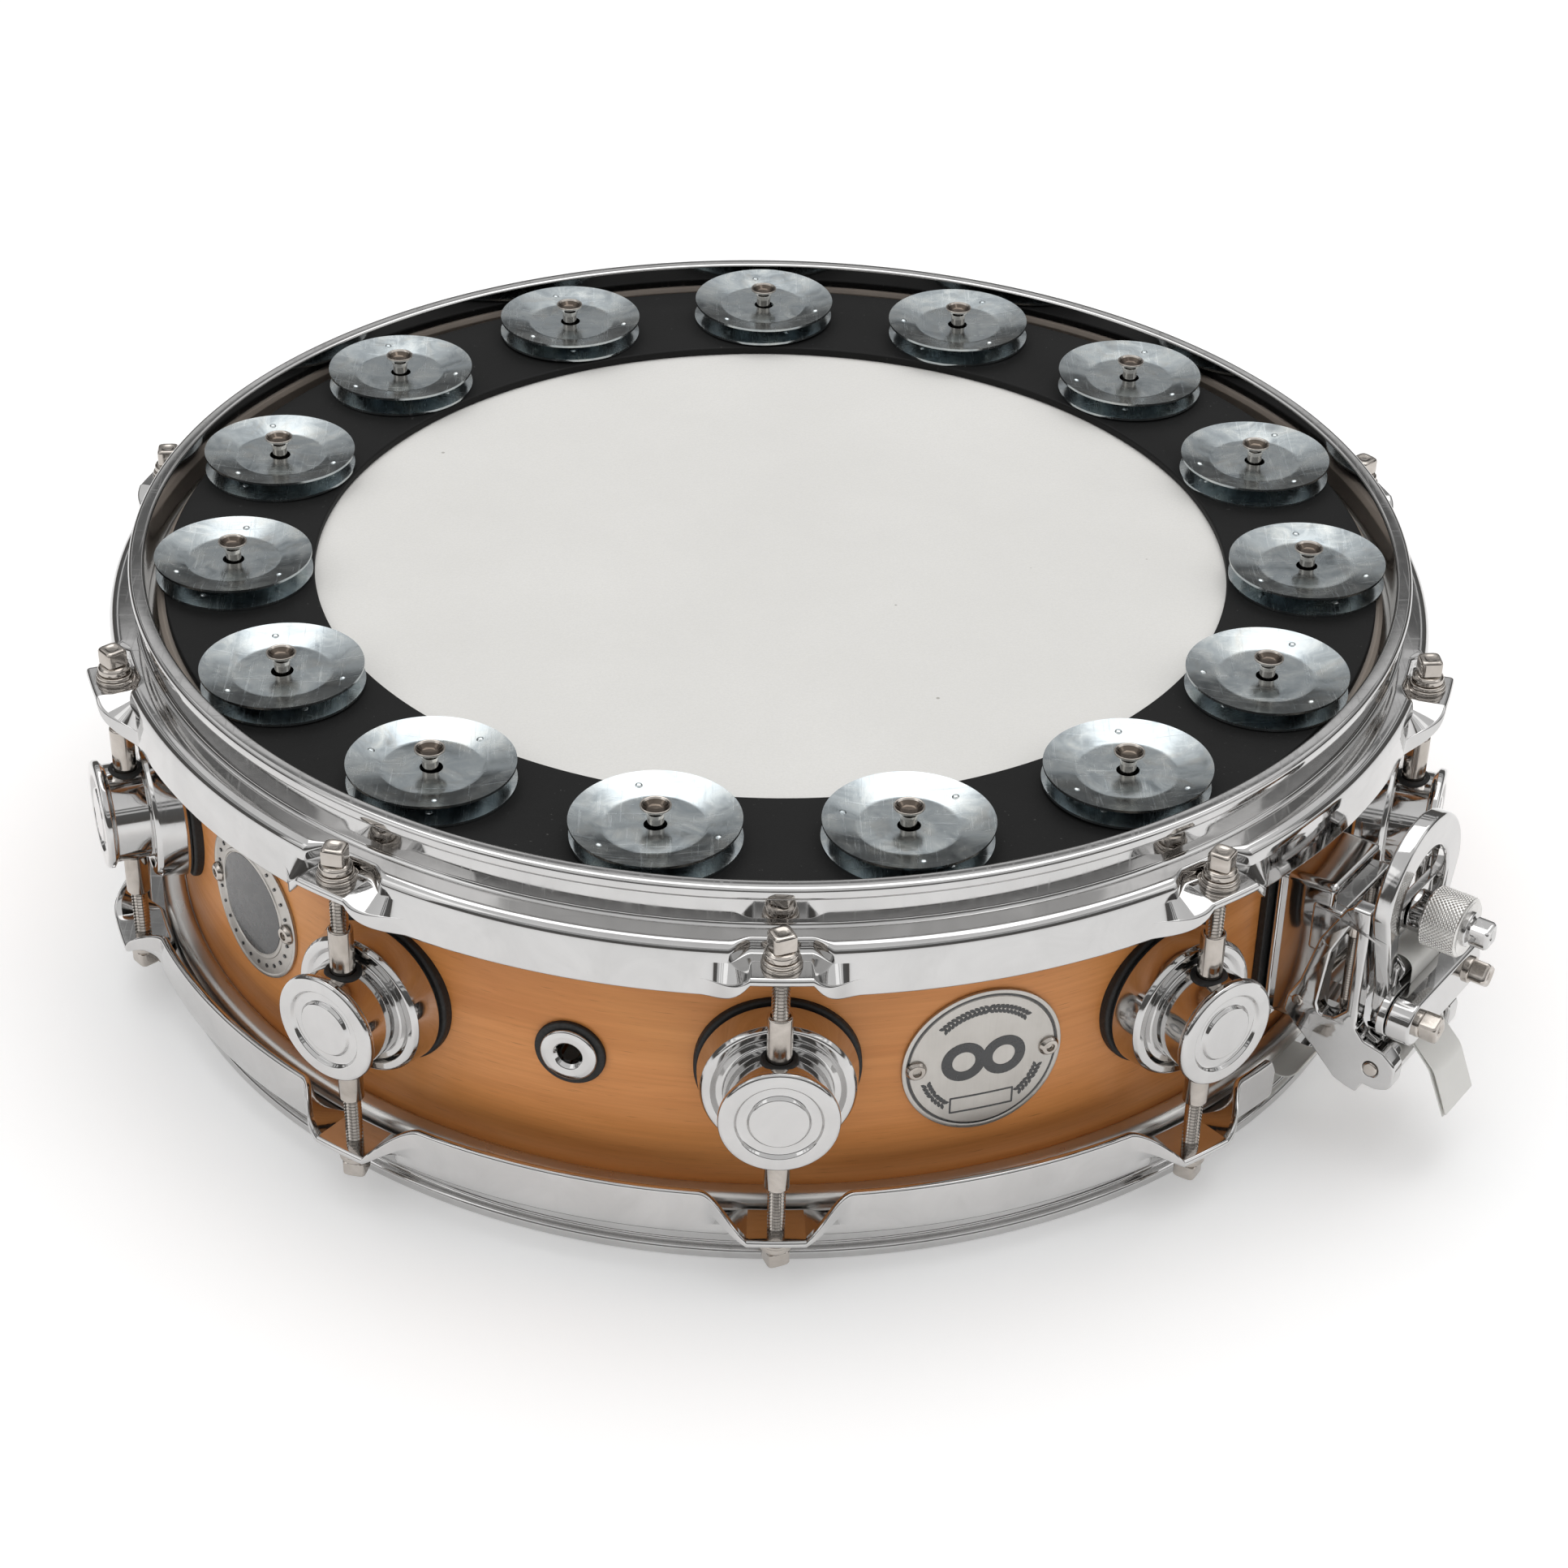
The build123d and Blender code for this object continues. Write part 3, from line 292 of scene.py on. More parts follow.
def even_shading(piece):
    """Let the large faces rule the shading at their corners."""
    modifier = piece.modifiers.new("even", "WEIGHTED_NORMAL")
    modifier.keep_sharp = True
    mesh = plain_mesh(piece)
    piece.modifiers.clear()
    piece.data = mesh


def dress(piece, material, body="root", replaces=()):
    """Give a finished piece its material, body, finish slot and the nodes that it stands for."""
    even_shading(piece)
    if material:
        piece.data.materials.clear()
        piece.data.materials.append(material)
    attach(piece, body)
    if replaces:
        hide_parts(*replaces)
    return piece


# Geometry Nodes ---------------------------------------------------------------------------------------------
def copies_tree(name, in_a_ring):
    """Copies of the mesh: turned about the drum's axis, or set out in a row."""
    tree = bpy.data.node_groups.new(name, "GeometryNodeTree")
    add = tree.interface.new_socket
    add("Geometry", in_out="INPUT", socket_type="NodeSocketGeometry")
    add("Count", in_out="INPUT", socket_type="NodeSocketInt")
    add("First", in_out="INPUT", socket_type="NodeSocketVector")
    add("Step", in_out="INPUT", socket_type="NodeSocketVector")
    add("Material", in_out="INPUT", socket_type="NodeSocketMaterial")
    add("Geometry", in_out="OUTPUT", socket_type="NodeSocketGeometry")
    node = tree.nodes.new
    link = tree.links.new
    given, out = node("NodeGroupInput"), node("NodeGroupOutput")
    line = node("GeometryNodeMeshLine")
    place = node("GeometryNodeInstanceOnPoints")
    realize = node("GeometryNodeRealizeInstances")
    paint = node("GeometryNodeSetMaterial")
    link(given.outputs["Count"], line.inputs["Count"])
    if in_a_ring:
        line.inputs["Offset"].default_value = (0, 0, 0)
        index = node("GeometryNodeInputIndex")
        scaled = node("ShaderNodeVectorMath")
        scaled.operation = "SCALE"
        summed = node("ShaderNodeVectorMath")
        rotation = node("FunctionNodeEulerToRotation")
        link(given.outputs["Step"], scaled.inputs[0])
        link(index.outputs[0], scaled.inputs["Scale"])
        link(scaled.outputs[0], summed.inputs[0])
        link(given.outputs["First"], summed.inputs[1])
        link(summed.outputs[0], rotation.inputs[0])
        link(rotation.outputs[0], place.inputs["Rotation"])
    else:
        link(given.outputs["First"], line.inputs["Start Location"])
        link(given.outputs["Step"], line.inputs["Offset"])
    link(line.outputs[0], place.inputs["Points"])
    link(given.outputs["Geometry"], place.inputs["Instance"])
    link(place.outputs[0], realize.inputs[0])
    link(realize.outputs[0], paint.inputs["Geometry"])
    link(given.outputs["Material"], paint.inputs["Material"])
    link(paint.outputs[0], out.inputs["Geometry"])
    return tree


def copied(name, base, tree, count, first, step, material, sharp=32):
    """Run a copies tree on a base piece and keep only its plain result."""
    modifier = base.modifiers.new("copies", "NODES")
    modifier.node_group = tree
    values = {"Count": count, "First": first, "Step": step, "Material": material}
    for item in tree.interface.items_tree:
        if item.item_type == "SOCKET" and item.in_out == "INPUT" and item.name in values:
            modifier[item.identifier] = values[item.name]
    mesh = plain_mesh(base)
    base.modifiers.remove(modifier)
    bpy.data.objects.remove(base)
    mesh.shade_smooth()
    mesh.set_sharp_from_angle(angle=radians(sharp))
    return as_object(name, mesh)


def tree_named(name, in_a_ring):
    return bpy.data.node_groups.get(name) or copies_tree(name, in_a_ring)


def round_the_drum(name, base, count, material, first=0.0, sharp=32):
    """Copies of a piece made at the front, spaced evenly round the drum."""
    tree = tree_named("ring_of_copies", True)
    step = (0, 0, 2 * pi / count)
    return copied(name, base, tree, count, (0, 0, radians(first)), step, material, sharp)


def in_a_row(name, base, count, first, step, material):
    return copied(name, base, tree_named("row_of_copies", False), count, first, step, material)


# Shader groups --------------------------------------------------------------------------------------------------
def shader_group(name, inputs, outputs):
    """An empty shader group with its sockets; returns the group, its input node and its output node."""
    group = bpy.data.node_groups.new(name, "ShaderNodeTree")
    for label, kind, value in inputs:
        socket = group.interface.new_socket(label, in_out="INPUT", socket_type=kind)
        if value is not None:
            socket.default_value = value
    for label, kind in outputs:
        group.interface.new_socket(label, in_out="OUTPUT", socket_type=kind)
    return group, group.nodes.new("NodeGroupInput"), group.nodes.new("NodeGroupOutput")


class Wiring:
    """Short ways to add and link the nodes of one shader tree."""

    def __init__(self, tree):
        self.tree = tree

    def node(self, kind, **settings):
        made = self.tree.nodes.new(kind)
        for key, value in settings.items():
            setattr(made, key, value)
        return made

    def link(self, source, target):
        self.tree.links.new(source, target)

    def scaled(self, coordinate, scale):
        mapping = self.node("ShaderNodeMapping")
        mapping.inputs["Scale"].default_value = scale
        self.link(coordinate, mapping.inputs["Vector"])
        return mapping.outputs[0]

    def noise(self, coordinate, scale, detail=4.0, roughness=0.55, distortion=0.0):
        made = self.node("ShaderNodeTexNoise")
        made.inputs["Scale"].default_value = scale
        made.inputs["Detail"].default_value = detail
        made.inputs["Roughness"].default_value = roughness
        made.inputs["Distortion"].default_value = distortion
        self.link(coordinate, made.inputs["Vector"])
        return made.outputs["Fac"]

    def ramp(self, value, stops):
        made = self.node("ShaderNodeValToRGB")
        ramp = made.color_ramp
        while len(ramp.elements) < len(stops):
            ramp.elements.new(0.5)
        for element, (position, colour) in zip(ramp.elements, stops):
            element.position = position
            element.color = (*colour, 1) if len(colour) == 3 else colour
        self.link(value, made.inputs[0])
        return made.outputs[0]

    def span(self, value, low, high, to_low, to_high):
        made = self.node("ShaderNodeMapRange")
        for label, number in (("From Min", low), ("From Max", high), ("To Min", to_low), ("To Max", to_high)):
            made.inputs[label].default_value = number
        self.link(value, made.inputs["Value"])
        return made.outputs[0]

    def mix(self, factor, first, second, blend="MIX"):
        made = self.node("ShaderNodeMix", data_type="RGBA", blend_type=blend)
        for source, target in ((factor, made.inputs[0]), (first, made.inputs[6]), (second, made.inputs[7])):
            if isinstance(source, bpy.types.NodeSocket):
                self.link(source, target)
            elif isinstance(source, (int, float)):
                target.default_value = source
            else:
                target.default_value = (*source, 1)
        return made.outputs[2]

    def math(self, operation, first, second=None):
        made = self.node("ShaderNodeMath", operation=operation)
        for source, target in ((first, made.inputs[0]), (second, made.inputs[1])):
            if source is None:
                continue
            if isinstance(source, bpy.types.NodeSocket):
                self.link(source, target)
            else:
                target.default_value = source
        return made.outputs[0]

    def bump(self, height, strength, distance):
        made = self.node("ShaderNodeBump")
        made.inputs["Strength"].default_value = strength
        made.inputs["Distance"].default_value = distance
        self.link(height, made.inputs["Height"])
        return made.outputs[0]


def scuff_group():
    """Fine crossed scratches and soft smears, both as masks."""
    found = bpy.data.node_groups.get("scuffs")
    if found:
        return found
    group, given, out = shader_group(
        "scuffs",
        [("Vector", "NodeSocketVector", None), ("Fineness", "NodeSocketFloat", 1.0)],
        [("Scratches", "NodeSocketFloat"), ("Smears", "NodeSocketFloat")],
    )
    w = Wiring(group)
    scale = w.node("ShaderNodeVectorMath", operation="SCALE")
    w.link(given.outputs["Vector"], scale.inputs[0])
    w.link(given.outputs["Fineness"], scale.inputs["Scale"])
    masks = []
    for turn, stretch in ((0.4, (900, 26, 60)), (-0.9, (22, 800, 50)), (1.9, (700, 30, 40))):
        turned = w.node("ShaderNodeMapping")
        turned.inputs["Rotation"].default_value = (0.2 * turn, 0.1, turn)
        turned.inputs["Scale"].default_value = stretch
        w.link(scale.outputs[0], turned.inputs["Vector"])
        streak = w.noise(turned.outputs[0], 1.0, 2.0, 0.6)
        masks.append(w.span(streak, 0.60, 0.72, 0.0, 1.0))
    scratches = w.math("MAXIMUM", w.math("MAXIMUM", masks[0], masks[1]), masks[2])
    smears = w.span(w.noise(scale.outputs[0], 55.0, 5.0, 0.6, 0.8), 0.35, 0.7, 0.0, 1.0)
    w.link(scratches, out.inputs["Scratches"])
    w.link(smears, out.inputs["Smears"])
    return group


# Materials --------------------------------------------------------------------------------------------------------
def new_material(name):
    """A material with an empty tree: its wiring, shader and coordinate nodes."""
    made = bpy.data.materials.new(name)
    made.use_nodes = True
    made.node_tree.nodes.clear()
    w = Wiring(made.node_tree)
    shader = w.node("ShaderNodeBsdfPrincipled")
    out = w.node("ShaderNodeOutputMaterial")
    w.link(shader.outputs[0], out.inputs[0])
    where = w.node("ShaderNodeTexCoord")
    return made, w, shader, where


def once(name, maker):
    return bpy.data.materials.get(name) or maker(name)


def plated_metal(name, colour, dull, low=0.05, high=0.16, fineness=1.0, wave=0.05):
    """Polished plate with smears, fine scratches and a slight ripple."""
    made, w, shader, where = new_material(name)
    scuffs = w.node("ShaderNodeGroup", node_tree=scuff_group())
    scuffs.inputs["Fineness"].default_value = fineness
    w.link(where.outputs["Object"], scuffs.inputs["Vector"])
    tone = w.mix(scuffs.outputs["Smears"], colour, dull)
    w.link(tone, shader.inputs["Base Color"])
    rough = w.span(scuffs.outputs["Smears"], 0, 1, low, high)
    rough = w.math("ADD", rough, w.math("MULTIPLY", scuffs.outputs["Scratches"], 0.07))
    w.link(rough, shader.inputs["Roughness"])
    shader.inputs["Metallic"].default_value = 1.0
    ripple = w.noise(where.outputs["Object"], 160.0, 3.0, 0.5)
    w.link(w.bump(ripple, wave, 0.4 * MM), shader.inputs["Normal"])
    return made


def chrome():
    return once("chrome_plate", lambda n: plated_metal(n, (0.62, 0.615, 0.61), (0.56, 0.555, 0.55), 0.04, 0.10, 1.0, 0.015))


def nickel():
    return once("nickel_plate", lambda n: plated_metal(n, (0.56, 0.52, 0.48), (0.40, 0.365, 0.33), 0.07, 0.2, 2.0, 0.03))


def zinc_jingle():
    def make(name):
        made, w, shader, where = new_material(name)
        scuffs = w.node("ShaderNodeGroup", node_tree=scuff_group())
        scuffs.inputs["Fineness"].default_value = 1.6
        w.link(where.outputs["Object"], scuffs.inputs["Vector"])
        patches = w.noise(where.outputs["Object"], 130.0, 6.0, 0.6, 0.8)
        tone = w.ramp(patches, [(0.32, (0.40, 0.445, 0.47)), (0.52, (0.53, 0.575, 0.59)), (0.72, (0.66, 0.69, 0.68))])
        tint = w.noise(where.outputs["Object"], 70.0, 2.0, 0.5, 2.0)
        tone = w.mix(w.span(tint, 0.55, 0.75, 0.0, 0.25), tone, (0.42, 0.37, 0.30))
        w.link(tone, shader.inputs["Base Color"])
        shader.inputs["Metallic"].default_value = 1.0
        rough = w.span(patches, 0.3, 0.7, 0.12, 0.26)
        rough = w.math("ADD", rough, w.math("MULTIPLY", scuffs.outputs["Scratches"], 0.12))
        w.link(rough, shader.inputs["Roughness"])
        height = w.math("ADD", w.math("MULTIPLY", scuffs.outputs["Scratches"], -0.35), patches)
        w.link(w.bump(height, 0.12, 0.10 * MM), shader.inputs["Normal"])
        return made

    return once("zinc_jingle", make)


def maple():
    def make(name):
        made, w, shader, where = new_material(name)
        unrolled = where.outputs["UV"]
        broad = w.noise(w.scaled(unrolled, (5, 38, 1)), 1.0, 5.0, 0.6, 0.9)
        fine = w.noise(w.scaled(unrolled, (18, 900, 1)), 1.0, 3.0, 0.6)
        pores = w.noise(w.scaled(unrolled, (120, 2600, 1)), 1.0, 2.0, 0.5)
        cloud = w.noise(w.scaled(unrolled, (9, 16, 1)), 1.0, 3.0, 0.5, 1.5)
        tone = w.ramp(
            broad,
            [(0.25, (0.58, 0.205, 0.052)), (0.45, (0.72, 0.285, 0.082)), (0.60, (0.82, 0.345, 0.112)), (0.8, (0.66, 0.250, 0.068))],
        )
        tone = w.mix(w.span(fine, 0.35, 0.75, 0.0, 0.34), tone, (0.52, 0.195, 0.044))
        tone = w.mix(w.span(cloud, 0.45, 0.8, 0.0, 0.5), tone, (0.84, 0.40, 0.13))
        tone = w.mix(w.span(pores, 0.64, 0.76, 0.0, 0.5), tone, (0.26, 0.09, 0.02))
        w.link(tone, shader.inputs["Base Color"])
        w.link(w.span(fine, 0.3, 0.7, 0.34, 0.46), shader.inputs["Roughness"])
        shader.inputs["Specular IOR Level"].default_value = 0.3
        shader.inputs["Coat Weight"].default_value = 0.12
        shader.inputs["Coat Roughness"].default_value = 0.22
        w.link(w.bump(pores, 0.08, 0.1 * MM), shader.inputs["Normal"])
        return made

    return once("honey_maple", make)


def coated_film():
    def make(name):
        made, w, shader, where = new_material(name)
        place = where.outputs["Object"]
        grit = w.noise(place, 1500.0, 3.0, 0.7)
        cloud = w.noise(place, 14.0, 4.0, 0.6)
        specks = w.node("ShaderNodeTexVoronoi", feature="F1")
        specks.inputs["Scale"].default_value = 42.0
        w.link(place, specks.inputs["Vector"])
        tone = w.mix(w.span(cloud, 0.3, 0.7, 0.0, 1.0), (0.745, 0.735, 0.71), (0.79, 0.78, 0.755))
        tone = w.mix(w.span(grit, 0.35, 0.7, 0.0, 0.35), tone, (0.66, 0.65, 0.62))
        tone = w.mix(w.span(specks.outputs["Distance"], 0.02, 0.028, 0.65, 0.0), tone, (0.25, 0.23, 0.2))
        # Painted shade: from a radius of 172 mm outward the head is mixed towards dark brown, most past 176.5 mm, in
        # the narrow gap between the jingle ring and the hoop.
        apart = w.node("ShaderNodeSeparateXYZ")
        w.link(place, apart.inputs[0])
        square = w.math("ADD", w.math("POWER", apart.outputs[0], 2.0), w.math("POWER", apart.outputs[1], 2.0))
        radius = w.math("SQRT", square)
        tone = w.mix(w.span(radius, 0.172, 0.1765, 0.0, 0.85), tone, (0.22, 0.17, 0.13))
        w.link(tone, shader.inputs["Base Color"])
        w.link(w.span(grit, 0.3, 0.7, 0.55, 0.75), shader.inputs["Roughness"])
        w.link(w.bump(grit, 0.35, 0.12 * MM), shader.inputs["Normal"])
        return made

    return once("coated_film", make)


def clear_film():
    def make(name):
        made, w, shader, where = new_material(name)
        haze = w.noise(where.outputs["Object"], 40.0, 4.0, 0.6)
        w.link(w.mix(haze, (0.80, 0.80, 0.78), (0.88, 0.88, 0.86)), shader.inputs["Base Color"])
        w.link(w.span(haze, 0.3, 0.7, 0.12, 0.3), shader.inputs["Roughness"])
        shader.inputs["Transmission Weight"].default_value = 0.35
        w.link(w.bump(haze, 0.05, 0.2 * MM), shader.inputs["Normal"])
        return made

    return once("clear_film", make)


def black_rubber():
    def make(name):
        made, w, shader, where = new_material(name)
        grain = w.noise(where.outputs["Object"], 1400.0, 3.0, 0.7)
        dust = w.noise(where.outputs["Object"], 420.0, 5.0, 0.7)
        tone = w.mix(w.span(dust, 0.55, 0.8, 0.0, 0.5), (0.012, 0.012, 0.012), (0.05, 0.05, 0.048))
        w.link(tone, shader.inputs["Base Color"])
        w.link(w.span(grain, 0.3, 0.7, 0.5, 0.72), shader.inputs["Roughness"])
        w.link(w.bump(grain, 0.3, 0.15 * MM), shader.inputs["Normal"])
        return made

    return once("black_rubber", make)


def ring_plastic():
    def make(name):
        made, w, shader, where = new_material(name)
        grain = w.noise(where.outputs["Object"], 2200.0, 3.0, 0.65)
        cloud = w.noise(where.outputs["Object"], 24.0, 4.0, 0.6, 0.6)
        dust = w.noise(where.outputs["Object"], 800.0, 2.0, 0.5)
        tone = w.mix(w.span(cloud, 0.35, 0.7, 0.0, 1.0), (0.008, 0.008, 0.008), (0.013, 0.013, 0.013))
        tone = w.mix(w.span(dust, 0.72, 0.8, 0.0, 0.5), tone, (0.12, 0.12, 0.115))
        w.link(tone, shader.inputs["Base Color"])
        w.link(w.span(cloud, 0.3, 0.7, 0.52, 0.64), shader.inputs["Roughness"])
        shader.inputs["Specular IOR Level"].default_value = 0.16
        w.link(w.bump(grain, 0.35, 0.1 * MM), shader.inputs["Normal"])
        return made

    return once("ring_plastic", make)


def brushed_alloy():
    def make(name):
        made, w, shader, where = new_material(name)
        place = where.outputs["Object"]
        lines = w.noise(w.scaled(place, (60, 60, 3200)), 1.0, 2.0, 0.6)
        cloud = w.noise(place, 60.0, 4.0, 0.6)
        w.link(w.mix(cloud, (0.62, 0.61, 0.59), (0.74, 0.73, 0.71)), shader.inputs["Base Color"])
        shader.inputs["Metallic"].default_value = 1.0
        w.link(w.span(lines, 0.3, 0.7, 0.25, 0.4), shader.inputs["Roughness"])
        w.link(w.bump(lines, 0.15, 0.06 * MM), shader.inputs["Normal"])
        return made

    return once("brushed_alloy", make)


def satin_plate():
    def make(name):
        made, w, shader, where = new_material(name)
        place = where.outputs["Object"]
        lines = w.noise(w.scaled(place, (3000, 3000, 80)), 1.0, 2.0, 0.6)
        cloud = w.noise(place, 90.0, 4.0, 0.6)
        w.link(w.mix(cloud, (0.46, 0.44, 0.41), (0.60, 0.58, 0.55)), shader.inputs["Base Color"])
        shader.inputs["Metallic"].default_value = 1.0
        w.link(w.span(lines, 0.3, 0.7, 0.3, 0.44), shader.inputs["Roughness"])
        w.link(w.bump(lines, 0.12, 0.05 * MM), shader.inputs["Normal"])
        return made

    return once("satin_plate", make)


def dark_enamel():
    def make(name):
        made, w, shader, where = new_material(name)
        cloud = w.noise(where.outputs["Object"], 260.0, 3.0, 0.6)
        w.link(w.mix(cloud, (0.016, 0.017, 0.018), (0.05, 0.052, 0.055)), shader.inputs["Base Color"])
        w.link(w.span(cloud, 0.3, 0.7, 0.2, 0.35), shader.inputs["Roughness"])
        shader.inputs["Coat Weight"].default_value = 0.4
        return made

    return once("dark_enamel", make)


def milky_film():
    def make(name):
        made, w, shader, where = new_material(name)
        haze = w.noise(where.outputs["Object"], 120.0, 5.0, 0.6)
        w.link(w.mix(haze, (0.86, 0.85, 0.81), (0.93, 0.92, 0.89)), shader.inputs["Base Color"])
        w.link(w.span(haze, 0.3, 0.7, 0.3, 0.48), shader.inputs["Roughness"])
        shader.inputs["Transmission Weight"].default_value = 0.12
        w.link(w.bump(haze, 0.1, 0.2 * MM), shader.inputs["Normal"])
        return made

    return once("milky_film", make)


# Drum -------------------------------------------------------------------------------------------------------------
def profile(corners, steps=4, closed=True):
    return rounded(in_mm(corners), steps, closed)


def unroll(piece):
    """UVs in metres: x runs round the drum and y up it."""
    layer = piece.data.uv_layers.new(name="unrolled")
    points = piece.data.vertices
    for face in piece.data.polygons:
        angles = [atan2(points[i].co.x, -points[i].co.y) for i in face.vertices]
        if max(angles) - min(angles) > pi:
            angles = [a + 2 * pi if a < 0 else a for a in angles]
        for loop, vertex, a in zip(face.loop_indices, face.vertices, angles):
            layer.data[loop].uv = (a * SHELL_RADIUS, points[vertex].co.z)
    return piece


def cut(piece, *cutters):
    """Take the cutters away from the piece, and remove them."""
    for cutter in cutters:
        modifier = piece.modifiers.new("cut", "BOOLEAN")
        modifier.operation = "DIFFERENCE"
        modifier.solver = "EXACT"
        modifier.object = cutter
    mesh = plain_mesh(piece)
    piece.modifiers.clear()
    piece.data = mesh
    for cutter in cutters:
        bpy.data.objects.remove(cutter)
    mesh.shade_smooth()
    mesh.set_sharp_from_angle(angle=radians(32))
    return piece


def with_mirror_image(piece):
    """Add the piece's image in the drum's middle plane."""
    import bmesh

    work = bmesh.new()
    work.from_mesh(piece.data)
    image = bmesh.ops.duplicate(work, geom=work.verts[:] + work.edges[:] + work.faces[:])["geom"]
    for part in image:
        if isinstance(part, bmesh.types.BMVert):
            part.co.z = HEIGHT - part.co.z
    bmesh.ops.reverse_faces(work, faces=[p for p in image if isinstance(p, bmesh.types.BMFace)])
    work.to_mesh(piece.data)
    work.free()
    return piece


def sliced(piece, step=2.0 * MM):
    """Cut the faces across local x, so that the piece can be bent."""
    import bmesh

    work = bmesh.new()
    work.from_mesh(piece.data)
    low = min(v.co.x for v in work.verts)
    high = max(v.co.x for v in work.verts)
    for k in range(1, ceil((high - low) / step)):
        everything = work.verts[:] + work.edges[:] + work.faces[:]
        bmesh.ops.bisect_plane(work, geom=everything, plane_co=(low + k * step, 0, 0), plane_no=(1, 0, 0))
    work.to_mesh(piece.data)
    work.free()
    return piece


def build_shell():
    outline = profile(
        [(171.3, 15, 1), (176.0, 9.95, 0.4), (177.8, 9.95, 0.7), (177.8, 111.55, 0.7), (176.0, 111.55, 0.4), (171.3, 106.5, 1)]
    )
    shell = unroll(lathe("drum_shell", outline, 240))
    bore = lathe("vent_bore", profile([(0, 160, 0), (4.9, 160, 0), (4.9, 190, 0), (0, 190, 0)]), 32, facing_out(VENT_ANGLE, 0, VENT_HEIGHT), False)
    dress(cut(shell, bore), maple(), replaces=["shell"])


VENT_ANGLE = -17.7
VENT_HEIGHT = 58.5 * MM


def build_vent():
    outline = profile(
        [(3.2, 171.3, 0), (5.0, 171.3, 0), (5.0, 179.1, 0), (7.9, 179.1, 0.3), (7.9, 180.1, 0.8), (6.2, 180.5, 1), (4.2, 180.4, 0.8), (3.2, 179.2, 0.6)]
    )
    grommet = lathe("vent_grommet_ring", outline, 48, facing_out(VENT_ANGLE, 0, VENT_HEIGHT))
    dress(grommet, chrome(), replaces=["vent_grommet"])


def build_gaskets():
    washer = lathe("vent_gasket", profile([(5.1, 0.03, 0), (9.8, 0.03, 0.2), (9.8, 1.3, 0.5), (5.1, 1.3, 0.2)]), 48)
    pieces = [bend_to_shell(sliced(washer), VENT_ANGLE, VENT_HEIGHT)]
    for angle, low, high in ((STRAINER_ANGLE, 30, 86), (BUTT_ANGLE, 30, 80)):
        outline = profile([(-18, low, 3), (18, low, 3), (18, high, 3), (-18, high, 3)], 5)
        strip = plate("strainer_gasket", outline, 2.5 * MM, Matrix(), edge=0.5 * MM)
        pieces.append(bend_to_shell(sliced(strip), angle, 0))
    dress(joined("rubber_gaskets", pieces), black_rubber(), replaces=["shell_gaskets"])


def screw_head(name, radius, height, recess, matrix):
    """A domed screw head with a six-sided recess."""
    outline = profile([(0, height - recess, 0), (radius * 0.42, height - recess, 0.1), (radius * 0.42, height, 0.1), (radius * 0.75, height * 0.94, 0.4), (radius, height * 0.3, 0.4), (radius, 0, 0), (0, 0, 0)], 3, False)
    return lathe(name, outline, 36, matrix, False)


def leaf(reach, way, turn, length=2.1):
    """A small leaf on a badge's face, at a place on a circle round its middle."""
    shape = [(-0.5, 0), (-0.2, 0.19), (0.2, 0.19), (0.5, 0), (0.2, -0.19), (-0.2, -0.19)]
    rings = [[Vector((x * length * MM, y * 2.4 * MM, z * MM)) for x, y in shape] for z in (0.8, 1.1)]
    place = Matrix.Rotation(radians(way), 4, "Z") @ Matrix.Translation((reach, 0, 0))
    return loft("mark", rings, place @ Matrix.Rotation(radians(turn - way), 4, "Z"))


